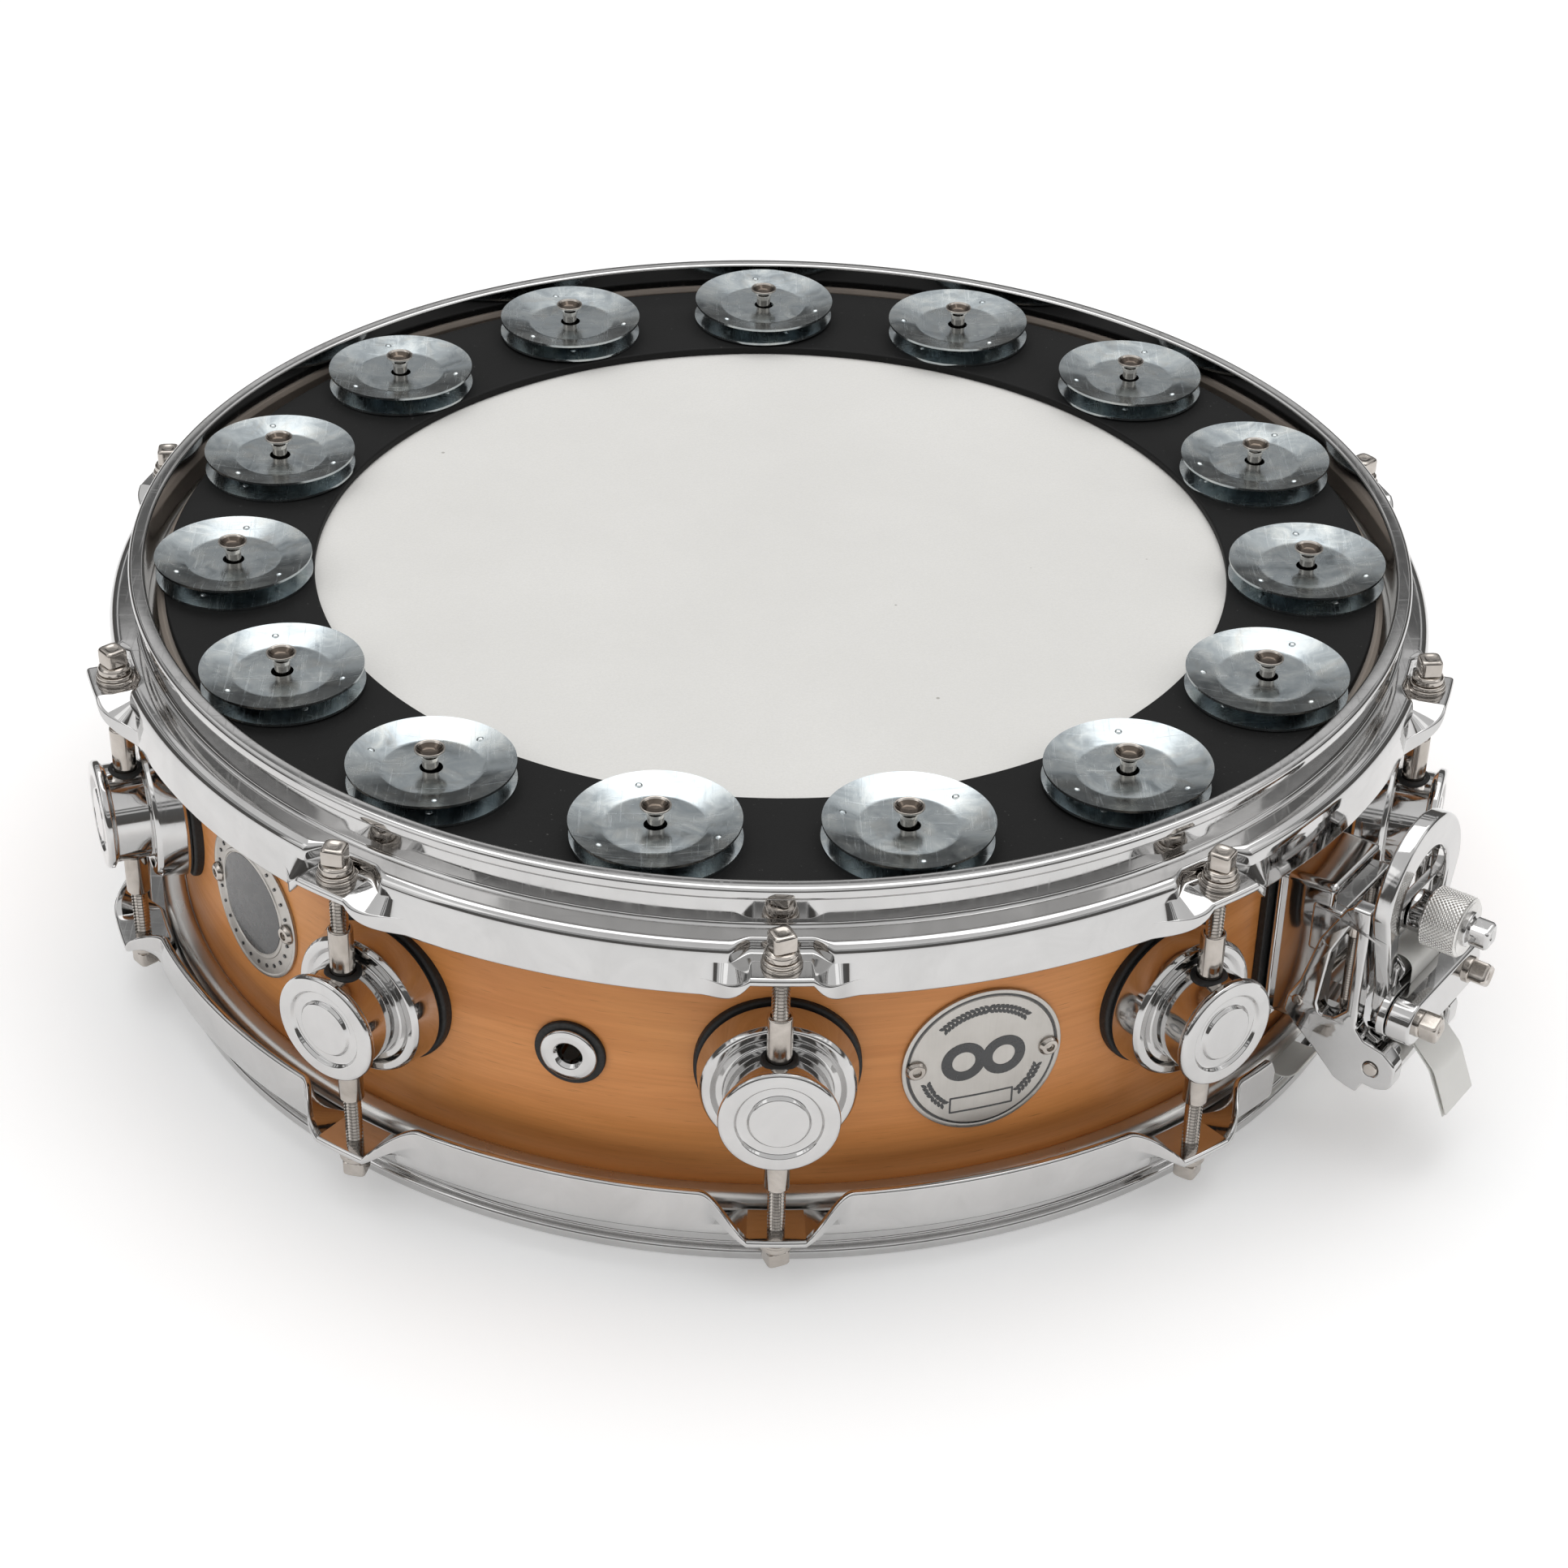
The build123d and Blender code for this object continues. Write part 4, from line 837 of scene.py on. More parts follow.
def build_badges():
    plain = [(0, 0.05, 0), (22.4, 0.05, 0.1), (22.4, 1.0, 0.3), (21.3, 1.05, 0.2), (21.1, 0.75, 0.1), (20.5, 0.75, 0.1), (20.3, 1.0, 0.1), (0, 1.0, 0)]
    ringed = [(0, 0.05, 0), (22.1, 0.05, 0.1), (22.1, 1.0, 0.4), (21.2, 1.05, 0.2), (20.9, 0.8, 0.1), (16.4, 0.8, 0.1), (16.2, 1.05, 0.1), (15.4, 1.05, 0.1), (15.2, 0.75, 0.1), (0, 0.75, 0)]
    plates = []
    for angle, height, corners in ((17.7, 56.8, plain), (-54.15, 59.5, ringed)):
        disc = lathe("badge", profile(corners, 2, False), 72, closed=False)
        plates.append(bend_to_shell(sliced(disc), angle, height * MM))
    dress(joined("badge_plates", plates), satin_plate(), replaces=["shell_badges"])
    inner = lathe("badge_centre", profile([(0, 0.7, 0), (15.0, 0.7, 0.1), (15.0, 0.9, 0.1), (0, 0.9, 0)], 2, False), 64, closed=False)
    dress(bend_to_shell(sliced(inner), -54.15, 59.5 * MM), dark_enamel())
    line = lathe("badge_line", profile([(20.55, 0.7, 0), (21.05, 0.7, 0), (21.05, 0.85, 0), (20.55, 0.85, 0)]), 72)
    dress(bend_to_shell(sliced(line), 17.7, 56.8 * MM), dark_enamel())
    marks = []
    for arc, count in ((90, 21), (215, 8), (325, 8)):
        for k in range(count):
            way = arc + 4.4 * (k - (count - 1) / 2)
            for fan, reach in ((38, 17.2), (-38, 15.8)):
                turn = way + 90 + fan if way < arc else way - 90 - fan
                marks.append(leaf(reach * MM, way, turn))
    frame_line = profile([(-9, -2.6, 0.3), (9, -2.6, 0.3), (9, 2.6, 0.3), (-9, 2.6, 0.3)], 2)
    frame_hole = profile([(-8.5, -2.1, 0.2), (8.5, -2.1, 0.2), (8.5, 2.1, 0.2), (-8.5, 2.1, 0.2)], 2)
    low = Matrix.Translation((0, -13.6 * MM, 0.95 * MM))
    marks.append(sliced(plate("mark", frame_line, 0.15 * MM, low, [frame_hole], 0.03 * MM)))
    for radius, hole, aside in ((6.2, 3.2, -5.6), (6.2, 3.2, 5.6)):
        where = Matrix.Translation((aside * MM, 0.5 * MM, 0.95 * MM))
        marks.append(sliced(plate("mark", circle(radius * MM), 0.15 * MM, where, [circle(hole * MM)], 0.03 * MM)))
    dress(bend_to_shell(joined("badge_marks", marks), 17.7, 56.8 * MM), dark_enamel())
    dashes = []
    for k in range(26):
        dashes.append(leaf(18.5 * MM, 360 / 26 * k, 360 / 26 * k, 1.3))
    dress(bend_to_shell(joined("badge_dashes", dashes), -54.15, 59.5 * MM), dark_enamel())
    heads = []
    for angle, height in ((17.7, 56.8), (-54.15, 59.5)):
        for aside in (-18.6, 18.6):
            turned = angle + aside / 177.8 * 180 / pi
            heads.append(screw_head("badge_screw", 2.9, 1.5, 0.9, facing_out(turned, 178.8 * MM, height * MM)))
    dress(joined("badge_screws", heads), nickel())


def build_heads():
    top = HEAD_TOP / MM
    batter = profile(
        [(0, top - 0.3, 0), (176.9, top - 0.3, 0.5), (177.95, top - 1.2, 0.5), (177.95, 101.7, 0), (178.25, 101.7, 0), (178.25, top - 1.0, 0.5), (177.1, top, 0.6), (0, top, 0)],
        4,
        False,
    )
    dress(lathe("batter_skin", batter, 192, closed=False), coated_film(), replaces=["batter_head"])
    snare = lathe("snare_side_skin", [(radius, HEIGHT - height) for radius, height in batter], 192, closed=False)
    dress(snare, clear_film(), replaces=["snare_side_head"])
    section = [(178.3, 99.7, 2), (185.0, 99.7, 2.6), (185.0, 106.2, 2.6), (178.3, 106.2, 2)]
    hoop = with_mirror_image(lathe("flesh_hoop_pair", profile(section), 192))
    dress(hoop, brushed_alloy(), replaces=["flesh_hoops"])


# (radius, depth below the rim, corner radius)
SKIRT_SECTION = [
    (181.0, 0, 0.9), (185.6, 0, 1.3), (185.6, 3.6, 1.3), (183.3, 4.0, 0.9), (183.3, 13.0, 1.6), (191.9, 13.0, 3.2),
    (192.3, 18.0, 1), (192.45, 23.0, 1), (192.5, 28.5, 0.9), (190.2, 28.5, 0.9), (189.9, 20.3, 0.3), (189.7, 15.3, 1.4), (181.0, 15.3, 0.9),
]
EAR_SECTION = [
    (181.0, 0, 0.9), (185.6, 0, 1.3), (185.6, 3.6, 1.3), (183.3, 4.0, 0.9), (183.3, 13.0, 1.6), (188.2, 13.0, 1.2),
    (188.2, 17.0, 1.8), (200.5, 17.0, 1.1), (200.5, 19.3, 1.0), (198.3, 19.3, 0.01), (185.7, 19.3, 1.6), (185.7, 15.3, 0.4), (181.0, 15.3, 0.9),
]
# The points of the skirt's free edge, with five to each corner
FREE_EDGE = range(35, 50)
ROD_CIRCLE = 193.5 * MM
LUG_COUNT = 10


def eased(share):
    """A share between 0 and 1, with soft ends."""
    share = min(1, max(0, share))
    return share * share * (3 - 2 * share)


def hoop_mesh(name, ear_half, flare_half):
    """A pressed hoop: its skirt is drawn out into a flat ear at each lug."""
    half_sector = pi * ROD_CIRCLE / LUG_COUNT
    stations = [0, 0.35 * ear_half, 0.7 * ear_half, 0.94 * ear_half]
    stations += [ear_half + (flare_half - ear_half) * k / 28 for k in range(29)]
    stations += [flare_half + (half_sector - flare_half) * (k / 11) ** 1.3 for k in range(1, 12)]
    columns = []
    skirt, ear = profile(SKIRT_SECTION), profile(EAR_SECTION)
    for number in range(LUG_COUNT):
        for d in [-s for s in reversed(stations[1:])] + stations[:-1]:
            near = eased((flare_half - abs(d)) / (flare_half - ear_half - 0.8 * MM))
            close = eased((ear_half + 6 * MM - abs(d)) / (6 * MM))
            high = min(1, max(0, (flare_half - abs(d)) / (flare_half - ear_half))) ** 2
            angle = 360 / LUG_COUNT * number + d / ROD_CIRCLE * 180 / pi
            column = []
            for i, (a, b) in enumerate(zip(skirt, ear)):
                across, down = (near, high) if i in FREE_EDGE else (close, close)
                column.append(out_of(angle) * (a[0] + (b[0] - a[0]) * across) + Vector((0, 0, HEIGHT - a[1] - (b[1] - a[1]) * down)))
            columns.append(column)
    count = len(skirt)
    faces = []
    for k in range(len(columns)):
        here, following = k * count, (k + 1) % len(columns) * count
        faces += [(here + i, following + i, following + (i + 1) % count, here + (i + 1) % count) for i in range(count)]
    return mesh_from(name, [p for column in columns for p in column], faces, 38)


def build_hoops(settings):
    upper = hoop_mesh("batter_side_hoop", settings.ear_width / 2 - 0.6 * MM, settings.ear_width / 2 + settings.flare_width)
    lower = bpy.data.objects.new("snare_side_hoop_look", upper.data.copy())
    bpy.context.scene.collection.objects.link(lower)
    lower.data.transform(Matrix.Translation((0, 0, HEIGHT)) @ Matrix.Scale(-1, 4, (0, 0, 1)))
    lower.data.flip_normals()
    gates = []
    for angle in (STRAINER_ANGLE, BUTT_ANGLE):
        outline = profile([(-25, 5, 6), (25, 5, 6), (25, 24, 5), (31, 36, 0), (-31, 36, 0), (-25, 24, 5)], 6)
        gates.append(plate("gate", outline, 34 * MM, facing_out(angle, 172 * MM), edge=0.2 * MM))
    dress(upper, chrome(), replaces=["batter_hoop"])
    dress(cut(lower, *gates), chrome(), replaces=["snare_side_hoop"])


def square_key(name, half, length, matrix, turn=0.0):
    """A square driving end with eased corners and top."""
    levels = ((0, 0.9, 0.3), (0.1, 1, 1), (0.8, 1, 1), (0.9, 0.96, 0.9), (0.97, 0.87, 0.75), (1, 0.72, 0.6), (0.98, 0.5, 0.3), (0.9, 0.3, 0))
    rings = [squared_ring(half * share, square, length * level) for level, share, square in levels]
    return loft(name, rings, matrix @ Matrix.Rotation(radians(turn), 4, "Z"), 28)


def build_lugs():
    at_front = facing_out(0, 0, MIDDLE)
    rod_place = standing(0, ROD_CIRCLE)
    casing = profile(
        [
            (0, 179.4, 0), (20.6, 179.4, 0.3), (21.2, 180.8, 0.8), (20.4, 188.0, 1.0), (19.6, 189.4, 1.0), (17.6, 189.4, 0.8),
            (16.3, 188.5, 0.8), (14.3, 188.5, 0.7), (14.3, 199.4, 0.6), (15.8, 200.5, 0.5), (15.8, 202.6, 1.1), (11.6, 202.6, 0.5),
            (10.9, 201.5, 0.6), (8.3, 201.5, 0.6), (7.6, 202.6, 0.5), (0, 202.6, 0),
        ],
        4,
        False,
    )
    lug = lathe("lug", casing, 72, at_front, False)
    dress(round_the_drum("lug_turrets", lug, LUG_COUNT, chrome()), None, replaces=["lug_casings"])
    pad = lathe("pad", profile([(0, 175, 0), (22.0, 175, 0), (22.0, 179.3, 0.9), (0, 179.3, 0)], 4, False), 72, at_front, False)
    dress(round_the_drum("lug_pads", pad, LUG_COUNT, black_rubber()), None, replaces=["lug_gaskets"])
    tube = profile([(2.55, 66.75, 0), (3.4, 66.75, 0.2), (3.4, 88.75, 0.6), (2.55, 88.75, 0.25)], 3)
    nut = with_mirror_image(lathe("nut", tube, 28, rod_place))
    dress(round_the_drum("swivel_nut_tubes", nut, LUG_COUNT, nickel()), None, replaces=["swivel_nuts"])
    collar = profile([(3.45, 72.9, 0), (5.2, 72.9, 0.2), (5.0, 75.3, 0.7), (3.45, 75.3, 0.3)], 3)
    bushing = with_mirror_image(lathe("bushing", collar, 32, rod_place))
    dress(round_the_drum("nut_bushings", bushing, LUG_COUNT, black_rubber()), None)
    thread = [(0, 80 * MM)]
    pitch = 1.06
    for k in range(44):
        thread.append(((2.41 if k % 2 else 2.0) * MM, (80.5 + k * pitch / 2) * MM))
    shank = [(2.41, 104.2, 0), (2.41, 106.9, 0), (4.5, 106.9, 0.5), (4.5, 108.6, 0.7), (3.9, 109.2, 0.5), (3.4, 109.4, 0.3), (0, 109.4, 0)]
    stem = lathe("stem", thread + profile(shank, 3, False), 24, rod_place, False)
    key = square_key("key", 3.175 * MM, 5.0 * MM, rod_place @ Matrix.Translation((0, 0, 109.4 * MM)), 22)
    rod = with_mirror_image(joined("rod", [stem, key]))
    dress(round_the_drum("tension_rod_set", rod, LUG_COUNT, nickel()), None, replaces=["tension_rods"])
    rings = []
    for low, radius in ((104.5, 5.35), (105.7, 5.05)):
        rings.append(lathe("ring", profile([(2.5, low, 0), (radius, low, 0.35), (radius, low + 1.17, 0.45), (2.5, low + 1.17, 0.1)], 3), 32, rod_place))
    washers = with_mirror_image(joined("washer", rings))
    dress(round_the_drum("washer_set", washers, LUG_COUNT, nickel()), None, replaces=["rod_washers"])
    pan = profile([(0, 168.2, 0), (3.4, 168.2, 0.8), (4.6, 169.4, 0.7), (4.6, 171.2, 0.2), (2.5, 171.2, 0), (2.5, 182, 0), (0, 182, 0)], 3, False)
    sets = [round_the_drum("screws", lathe("pan", pan, 24, at_front, False), LUG_COUNT, nickel())]
    for step in (-13, 13):
        screw = lathe("pan", pan, 24, facing_out(0, 0, MIDDLE + step * MM), False)
        sets.append(round_the_drum("screws", screw, 2, nickel(), STRAINER_ANGLE))
    dress(joined("inner_screws", sets), nickel(), replaces=["mounting_screws"])


# Jingle ring ---------------------------------------------------------------------------------------------------------
JINGLE_COUNT = 15
JINGLE_START = 12.2
JINGLE_CIRCLE = 155.7 * MM
RING_TOP = RING_BOX[1].z


def build_ring():
    low, high = RING_BOX[0].z / MM, RING_TOP / MM
    outline = profile([(133, low, 0.6), (176, low, 0.6), (176, high, 0.7), (133, high, 0.7)], 4)
    dress(lathe("jingle_carrier", outline, 240), ring_plastic(), "jingle_ring", ["jingle_ring"])
    top = high + 10.4
    corners = [
        (0, top - 1.9, 0), (2.3, top - 1.7, 1.2), (3.7, top - 0.1, 0.2), (4.15, top, 0.15), (4.15, top - 0.6, 0.3),
        (2.7, top - 2.1, 1.0), (2.2, top - 3.6, 1.0), (2.2, 112.6, 0), (4.6, 112.6, 0), (4.6, 111.95, 0), (0, 111.95, 0),
    ]
    rivet = lathe("rivet", profile(corners, 4, False), 32, standing(0, JINGLE_CIRCLE), False)
    row = round_the_drum("rivet_set", rivet, JINGLE_COUNT, nickel(), JINGLE_START)
    dress(row, None, "jingle_ring", ["jingle_rivets"])
    # Painted dark reflection: a thin dark metal disc laid in each rivet's cupped top stands for the shade and dark
    # reflection of the hollow.
    bowl = profile([(0, top - 1.75, 0), (2.2, top - 1.6, 1.2), (3.45, top - 0.4, 0.1), (3.5, top - 0.5, 0.1), (2.3, top - 1.8, 1.2), (0, top - 1.98, 0)], 4, False)
    hollow = lathe("bowl", bowl, 32, standing(0, JINGLE_CIRCLE), False)
    painted_dark_reflection = once("nickel_painted_dark_reflection", lambda n: plated_metal(n, (0.17, 0.14, 0.115), (0.09, 0.072, 0.06), 0.08, 0.2, 2.0))
    dress(round_the_drum("rivet_bowls", hollow, JINGLE_COUNT, painted_dark_reflection, JINGLE_START), None, "jingle_ring")


def jingle_mesh(name, radius, rise, sheet, chance):
    """A dished disc with its dome up: a flat middle, a cone to the rim and three raised pips."""
    segments = 96
    flat, hole = 13.6 * MM, 3.1 * MM
    phase = chance.uniform(0, 2 * pi)
    radii = [hole, 4 * MM, 6 * MM, 8 * MM, 10 * MM]
    radii += [flat + d * MM for d in (-1.2, -0.6, -0.2, 0.2, 0.6, 1.2)]
    radii += [flat + (radius - flat) * k / 6 for k in (2, 3, 4, 5)]
    radii += [radius - 0.12 * MM, radius]

    def level(r, a):
        edge = flat + 0.3 * MM * sin(a + phase)
        share = min(1, max(0, (r - edge + 0.5 * MM) / (radius - edge + 0.5 * MM)))
        ease = share * share / (share * share + 0.004) if share else 0
        dish = 0.14 * MM * cos(min(1, r / edge) * pi / 2) * (1 + 0.6 * cos(a + phase))
        wave = 0.05 * MM * sin(3 * a + phase) * (r / radius) ** 2
        return rise * (1 - share * ease) - dish + wave

    points, faces = [], []
    count = 2 * len(radii)
    for k in range(segments):
        a = 2 * pi * k / segments
        column = [(r, level(r, a)) for r in radii]
        column += [(r, level(r, a) + sheet) for r in reversed(radii)]
        points += [(r * cos(a), r * sin(a), h) for r, h in column]
    for k in range(segments):
        here, following = k * count, (k + 1) % segments * count
        faces += [(here + i, following + i, following + (i + 1) % count, here + (i + 1) % count) for i in range(count)]
    disc = mesh_from(name, points, faces, 40)
    pips = []
    pip = profile([(0, -0.3, 0), (1.15, -0.3, 0), (1.0, 0.15, 0.2), (0.55, 0.5, 0.3), (0, 0.55, 0)], 3, False)
    for k in range(3):
        a = phase + 2 * pi * k / 3 + chance.uniform(-0.12, 0.12)
        r = 0.78 * radius
        place = Matrix.Translation((r * cos(a), r * sin(a), level(r, a) + sheet * 0.8)) @ Matrix.Rotation(radians(13), 4, Vector((-sin(a), cos(a), 0)))
        pips.append(lathe("pip", pip, 14, place, False))
        under = Matrix.Translation((r * cos(a), r * sin(a), level(r, a) + sheet * 0.2)) @ Matrix.Rotation(radians(13), 4, Vector((-sin(a), cos(a), 0))) @ Matrix.Rotation(pi, 4, "X")
        pips.append(lathe("pip", pip, 14, under, False))
    return joined(name, [disc, *pips])


def build_jingles(settings):
    chance = random.Random(settings.seed)
    radius = settings.jingle_radius
    rise, sheet = 2.1 * MM, 0.7 * MM
    for number in range(JINGLE_COUNT):
        angle = JINGLE_START + 360 / JINGLE_COUNT * number
        for kind in ("lower", "upper"):
            disc = jingle_mesh(f"{kind}_disc_{number + 1:02d}", radius, rise, sheet, chance)
            tilt = radians(chance.uniform(-1, 1) * settings.jingle_tilt)
            lean = Matrix.Rotation(tilt, 4, Vector((cos(number), sin(number), 0)))
            if kind == "upper":
                base = RING_TOP + 3.5 * MM + rise + sheet
                lean = lean @ Matrix.Rotation(pi, 4, "X")
            else:
                base = RING_TOP + 0.05 * MM + radius * abs(sin(tilt))
            aside = Matrix.Translation((chance.uniform(-0.2, 0.2) * MM, chance.uniform(-0.2, 0.2) * MM, base))
            place = standing(angle, JINGLE_CIRCLE) @ aside @ lean @ Matrix.Rotation(chance.uniform(0, 2 * pi), 4, "Z")
            disc.data.transform(place)
            node = f"{kind}_jingle_{number + 1:02d}"
            dress(disc, zinc_jingle(), node, [node])


# Snares -----------------------------------------------------------------------------------------------------------------
def strip(name, route, thickness, width, angle, aside=0.0):
    """A flat strap that follows (distance out, height, corner radius) points."""
    path = [Vector(p) for p in profile(route, 6, False)]
    left, right = [], []
    for i, point in enumerate(path):
        along = (path[min(i + 1, len(path) - 1)] - path[max(i - 1, 0)]).normalized()
        normal = Vector((-along.y, along.x)) * (thickness / 2)
        left.append(tuple(point + normal))
        right.append(tuple(point - normal))
    return plate(name, left + right[::-1], width, facing_side(angle, side=aside + width / 2), edge=0.1 * MM)


def build_snares(settings):
    count, pitch = 20, 2.15 * MM
    half, level = 148 * MM, 8.6 * MM
    turn_length, steps, coil = 2.0 * MM, 8, 0.95 * MM - settings.wire_thickness / 2
    points, faces = [], []
    total = int(2 * half / turn_length * steps)
    for k in range(total + 1):
        a = 2 * pi * k / steps
        along = -half + 2 * half * k / total
        for corner in range(3):
            b = 2 * pi * corner / 3
            reach = coil + settings.wire_thickness / 2 * cos(b)
            points.append((reach * cos(a), reach * sin(a), along + settings.wire_thickness / 2 * sin(b)))
    for k in range(total):
        faces += [(3 * k + i, 3 * k + (i + 1) % 3, 3 * k + 3 + (i + 1) % 3, 3 * k + 3 + i) for i in range(3)]
    faces += [(2, 1, 0), (3 * total, 3 * total + 1, 3 * total + 2)]
    wire = mesh_from("wire", points, faces, 60, False)
    wire.data.transform(facing_out(STRAINER_ANGLE, 0, level))
    clean(wire.data, 1e-7)
    across = side_of(STRAINER_ANGLE)
    row = in_a_row("snare_coils", wire, count, across * (-(count - 1) / 2 * pitch), across * pitch, nickel())
    dress(row, None, replaces=["snare_wires"])
    plates = []
    for angle in (STRAINER_ANGLE, BUTT_ANGLE):
        outline = profile([(-22.5, -0.6, 0.4), (22.5, -0.6, 0.4), (22.5, 0.6, 0.4), (-22.5, 0.6, 0.4)])
        plates.append(plate("end_plate", outline, 12 * MM, facing_out(angle, half, level), edge=0.2 * MM))
    dress(joined("snare_ends", plates), brushed_alloy(), replaces=["snare_end_plates"])
    run = strip("strap_run", [(150, 9.45, 0), (188.5, 9.2, 7), (207.2, 46.8, 0)], 0.5 * MM, 17 * MM, STRAINER_ANGLE)
    dress_strap(run, "snare_straps")
    fixed = strip("strap_fixed_end", [(150, 9.45, 0), (187.5, 9.2, 6), (193.6, 36, 6), (193.6, 51, 0)], 0.5 * MM, 17 * MM, BUTT_ANGLE)
    dress(fixed, milky_film())


def dress_strap(run, node):
    """The strap bends between the shell, where it starts, and the lever, where it ends."""
    run.data.materials.clear()
    run.data.materials.append(milky_film())
    start = out_of(STRAINER_ANGLE) * (188 * MM) + Vector((0, 0, 9 * MM))
    end = out_of(STRAINER_ANGLE) * (207 * MM) + Vector((0, 0, 46 * MM))
    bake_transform(run)
    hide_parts(node)


# Throw-off ----------------------------------------------------------------------------------------------------------------
PIVOT = (216.4, 33.2)
CHEEK = [
    (188.4, 41.5, 1.5), (189.2, 47.0, 2), (192.2, 53.0, 4), (196.5, 69.0, 6), (203.0, 81.0, 2), (205.0, 82.5, 1.5), (210.4, 82.5, 0.8),
    (210.4, 44.5, 2.5), (213.2, 41.3, 2.5), (219.3, 40.0, 3), (223.6, 36.5, 4), (223.4, 28.5, 4), (218.4, 26.9, 3), (213.8, 27.2, 1.0),
    (213.1, 23.5, 0.8), (209.6, 24.2, 2), (205.8, 25.6, 3), (198.5, 32.9, 6), (192.4, 37.8, 4),
]
CHEEK_WINDOW = [(198.3, 47.5, 2), (200.4, 66.0, 6), (205.2, 77.0, 2), (207.0, 76.5, 1.2), (207.0, 49.0, 1.5), (203.4, 45.2, 1.5), (199.4, 44.6, 1.5)]


def build_housing():
    pieces = []
    for side in (20.0, -14.6):
        place = facing_side(STRAINER_ANGLE, side=side * MM)
        holes = [profile(CHEEK_WINDOW, 5), circle(2.2 * MM, (PIVOT[0] * MM, PIVOT[1] * MM))]
        pieces.append(plate("cheek", profile(CHEEK, 6), 5.4 * MM, place, holes, 0.7 * MM))
    box = profile([(-14, 34, 2.5), (14, 34, 2.5), (14, 82, 2.5), (-14, 82, 2.5)], 5)
    body = plate("box", box, 16.6 * MM, facing_out(STRAINER_ANGLE, 180.4 * MM), edge=1.5 * MM)
    slot = profile([(176, 30, 0), (176, 40, 0), (193, 56, 0), (201, 56, 0), (201, 30, 0)])
    cutter = plate("slot", slot, 19.4 * MM, facing_side(STRAINER_ANGLE, side=9.7 * MM), edge=0.05 * MM)
    pieces.append(cut(body, cutter))
    flange = profile([(-16, 32.4, 3.5), (16, 32.4, 3.5), (16, 84, 3.5), (-16, 84, 3.5)], 5)
    opening = profile([(-9.7, 33, 1), (9.7, 33, 1), (9.7, 44, 1), (-9.7, 44, 1)], 3)
    pieces.append(plate("flange", flange, 1.6 * MM, facing_out(STRAINER_ANGLE, 180.4 * MM), [opening], 0.5 * MM))
    tie = profile([(-14.9, 60.5, 1), (14.9, 60.5, 1), (14.9, 75.5, 1), (-14.9, 75.5, 1)], 3)
    pieces.append(plate("tie", tie, 9 * MM, facing_out(STRAINER_ANGLE, 191 * MM), edge=0.8 * MM))
    dress(joined("throwoff_frame", pieces), chrome(), replaces=["throwoff_housing"])
    pins = []
    for out, height, radius in ((*PIVOT, 2.17), (192.4, 46.4, 1.7)):
        outline = profile([(0, -20.4, 0), (radius, -20.4, 0.5), (radius, 20.4, 0.5), (0, 20.4, 0)], 4, False)
        pins.append(lathe("pin", outline, 28, facing_side(STRAINER_ANGLE, out * MM, height * MM), False))
    dress(joined("throwoff_pins", pins), nickel(), replaces=["lever_pivot_pin"])
    spindles = []
    for side in (-12.3, 12.3):
        outline = [(0, 43 * MM), (1.9 * MM, 43 * MM), (1.9 * MM, 48 * MM)]
        outline += [((1.9 if k % 2 else 1.55) * MM, (48.4 + 0.4 * k) * MM) for k in range(52)]
        outline += [(2.6 * MM, 69.4 * MM), (2.6 * MM, 75 * MM), (0, 75 * MM)]
        spindles.append(lathe("spindle", outline, 20, facing_out(STRAINER_ANGLE, 203.6 * MM, 0, side * MM) @ Matrix.Rotation(-pi / 2, 4, "X"), False))
    dress(joined("lift_spindles", spindles), nickel())


def build_lever(settings):
    half, top = 21.8, 104.0
    corners = [(half, 46.5, 2.5), (14.1, 42.8, 1.5), (14.1, 31.5, 1), (-14.1, 31.5, 1), (-14.1, 42.8, 1.5), (-half, 46.5, 2.5)]
    outline = profile(corners, 5)
    crown = top - half
    arc = [(-half * cos(pi * k / 40) * MM, (crown + half * sin(pi * k / 40)) * MM) for k in range(41)]
    inner = 13.4
    window = profile([(-inner, 42.5, 2), (inner, 42.5, 2), (inner, 78, 0)], 4)[:-1]
    spring = 94.4 - inner
    window += [(inner * cos(pi * k / 28) * MM, (spring + inner * sin(pi * k / 28)) * MM) for k in range(29)]
    place = facing_out(STRAINER_ANGLE, 211.2 * MM)
    loop = plate("loop", outline + arc, 5.2 * MM, place, [window], settings.lever_edge)
    bridge = profile([(-14.2, 70, 1), (14.2, 70, 1), (14.2, 80, 1), (-14.2, 80, 1)], 3)
    web = plate("web", bridge, 3.0 * MM, place, edge=0.5 * MM)
    knuckle = lathe("knuckle", profile([(2.25, -14.1, 0), (6, -14.1, 0.8), (6, 14.1, 0.8), (2.25, 14.1, 0)], 4), 48, facing_side(STRAINER_ANGLE, PIVOT[0] * MM, PIVOT[1] * MM))
    dress(joined("throw_lever_loop", [loop, web, knuckle]), chrome(), "throw_lever", ["throwoff_lever"])


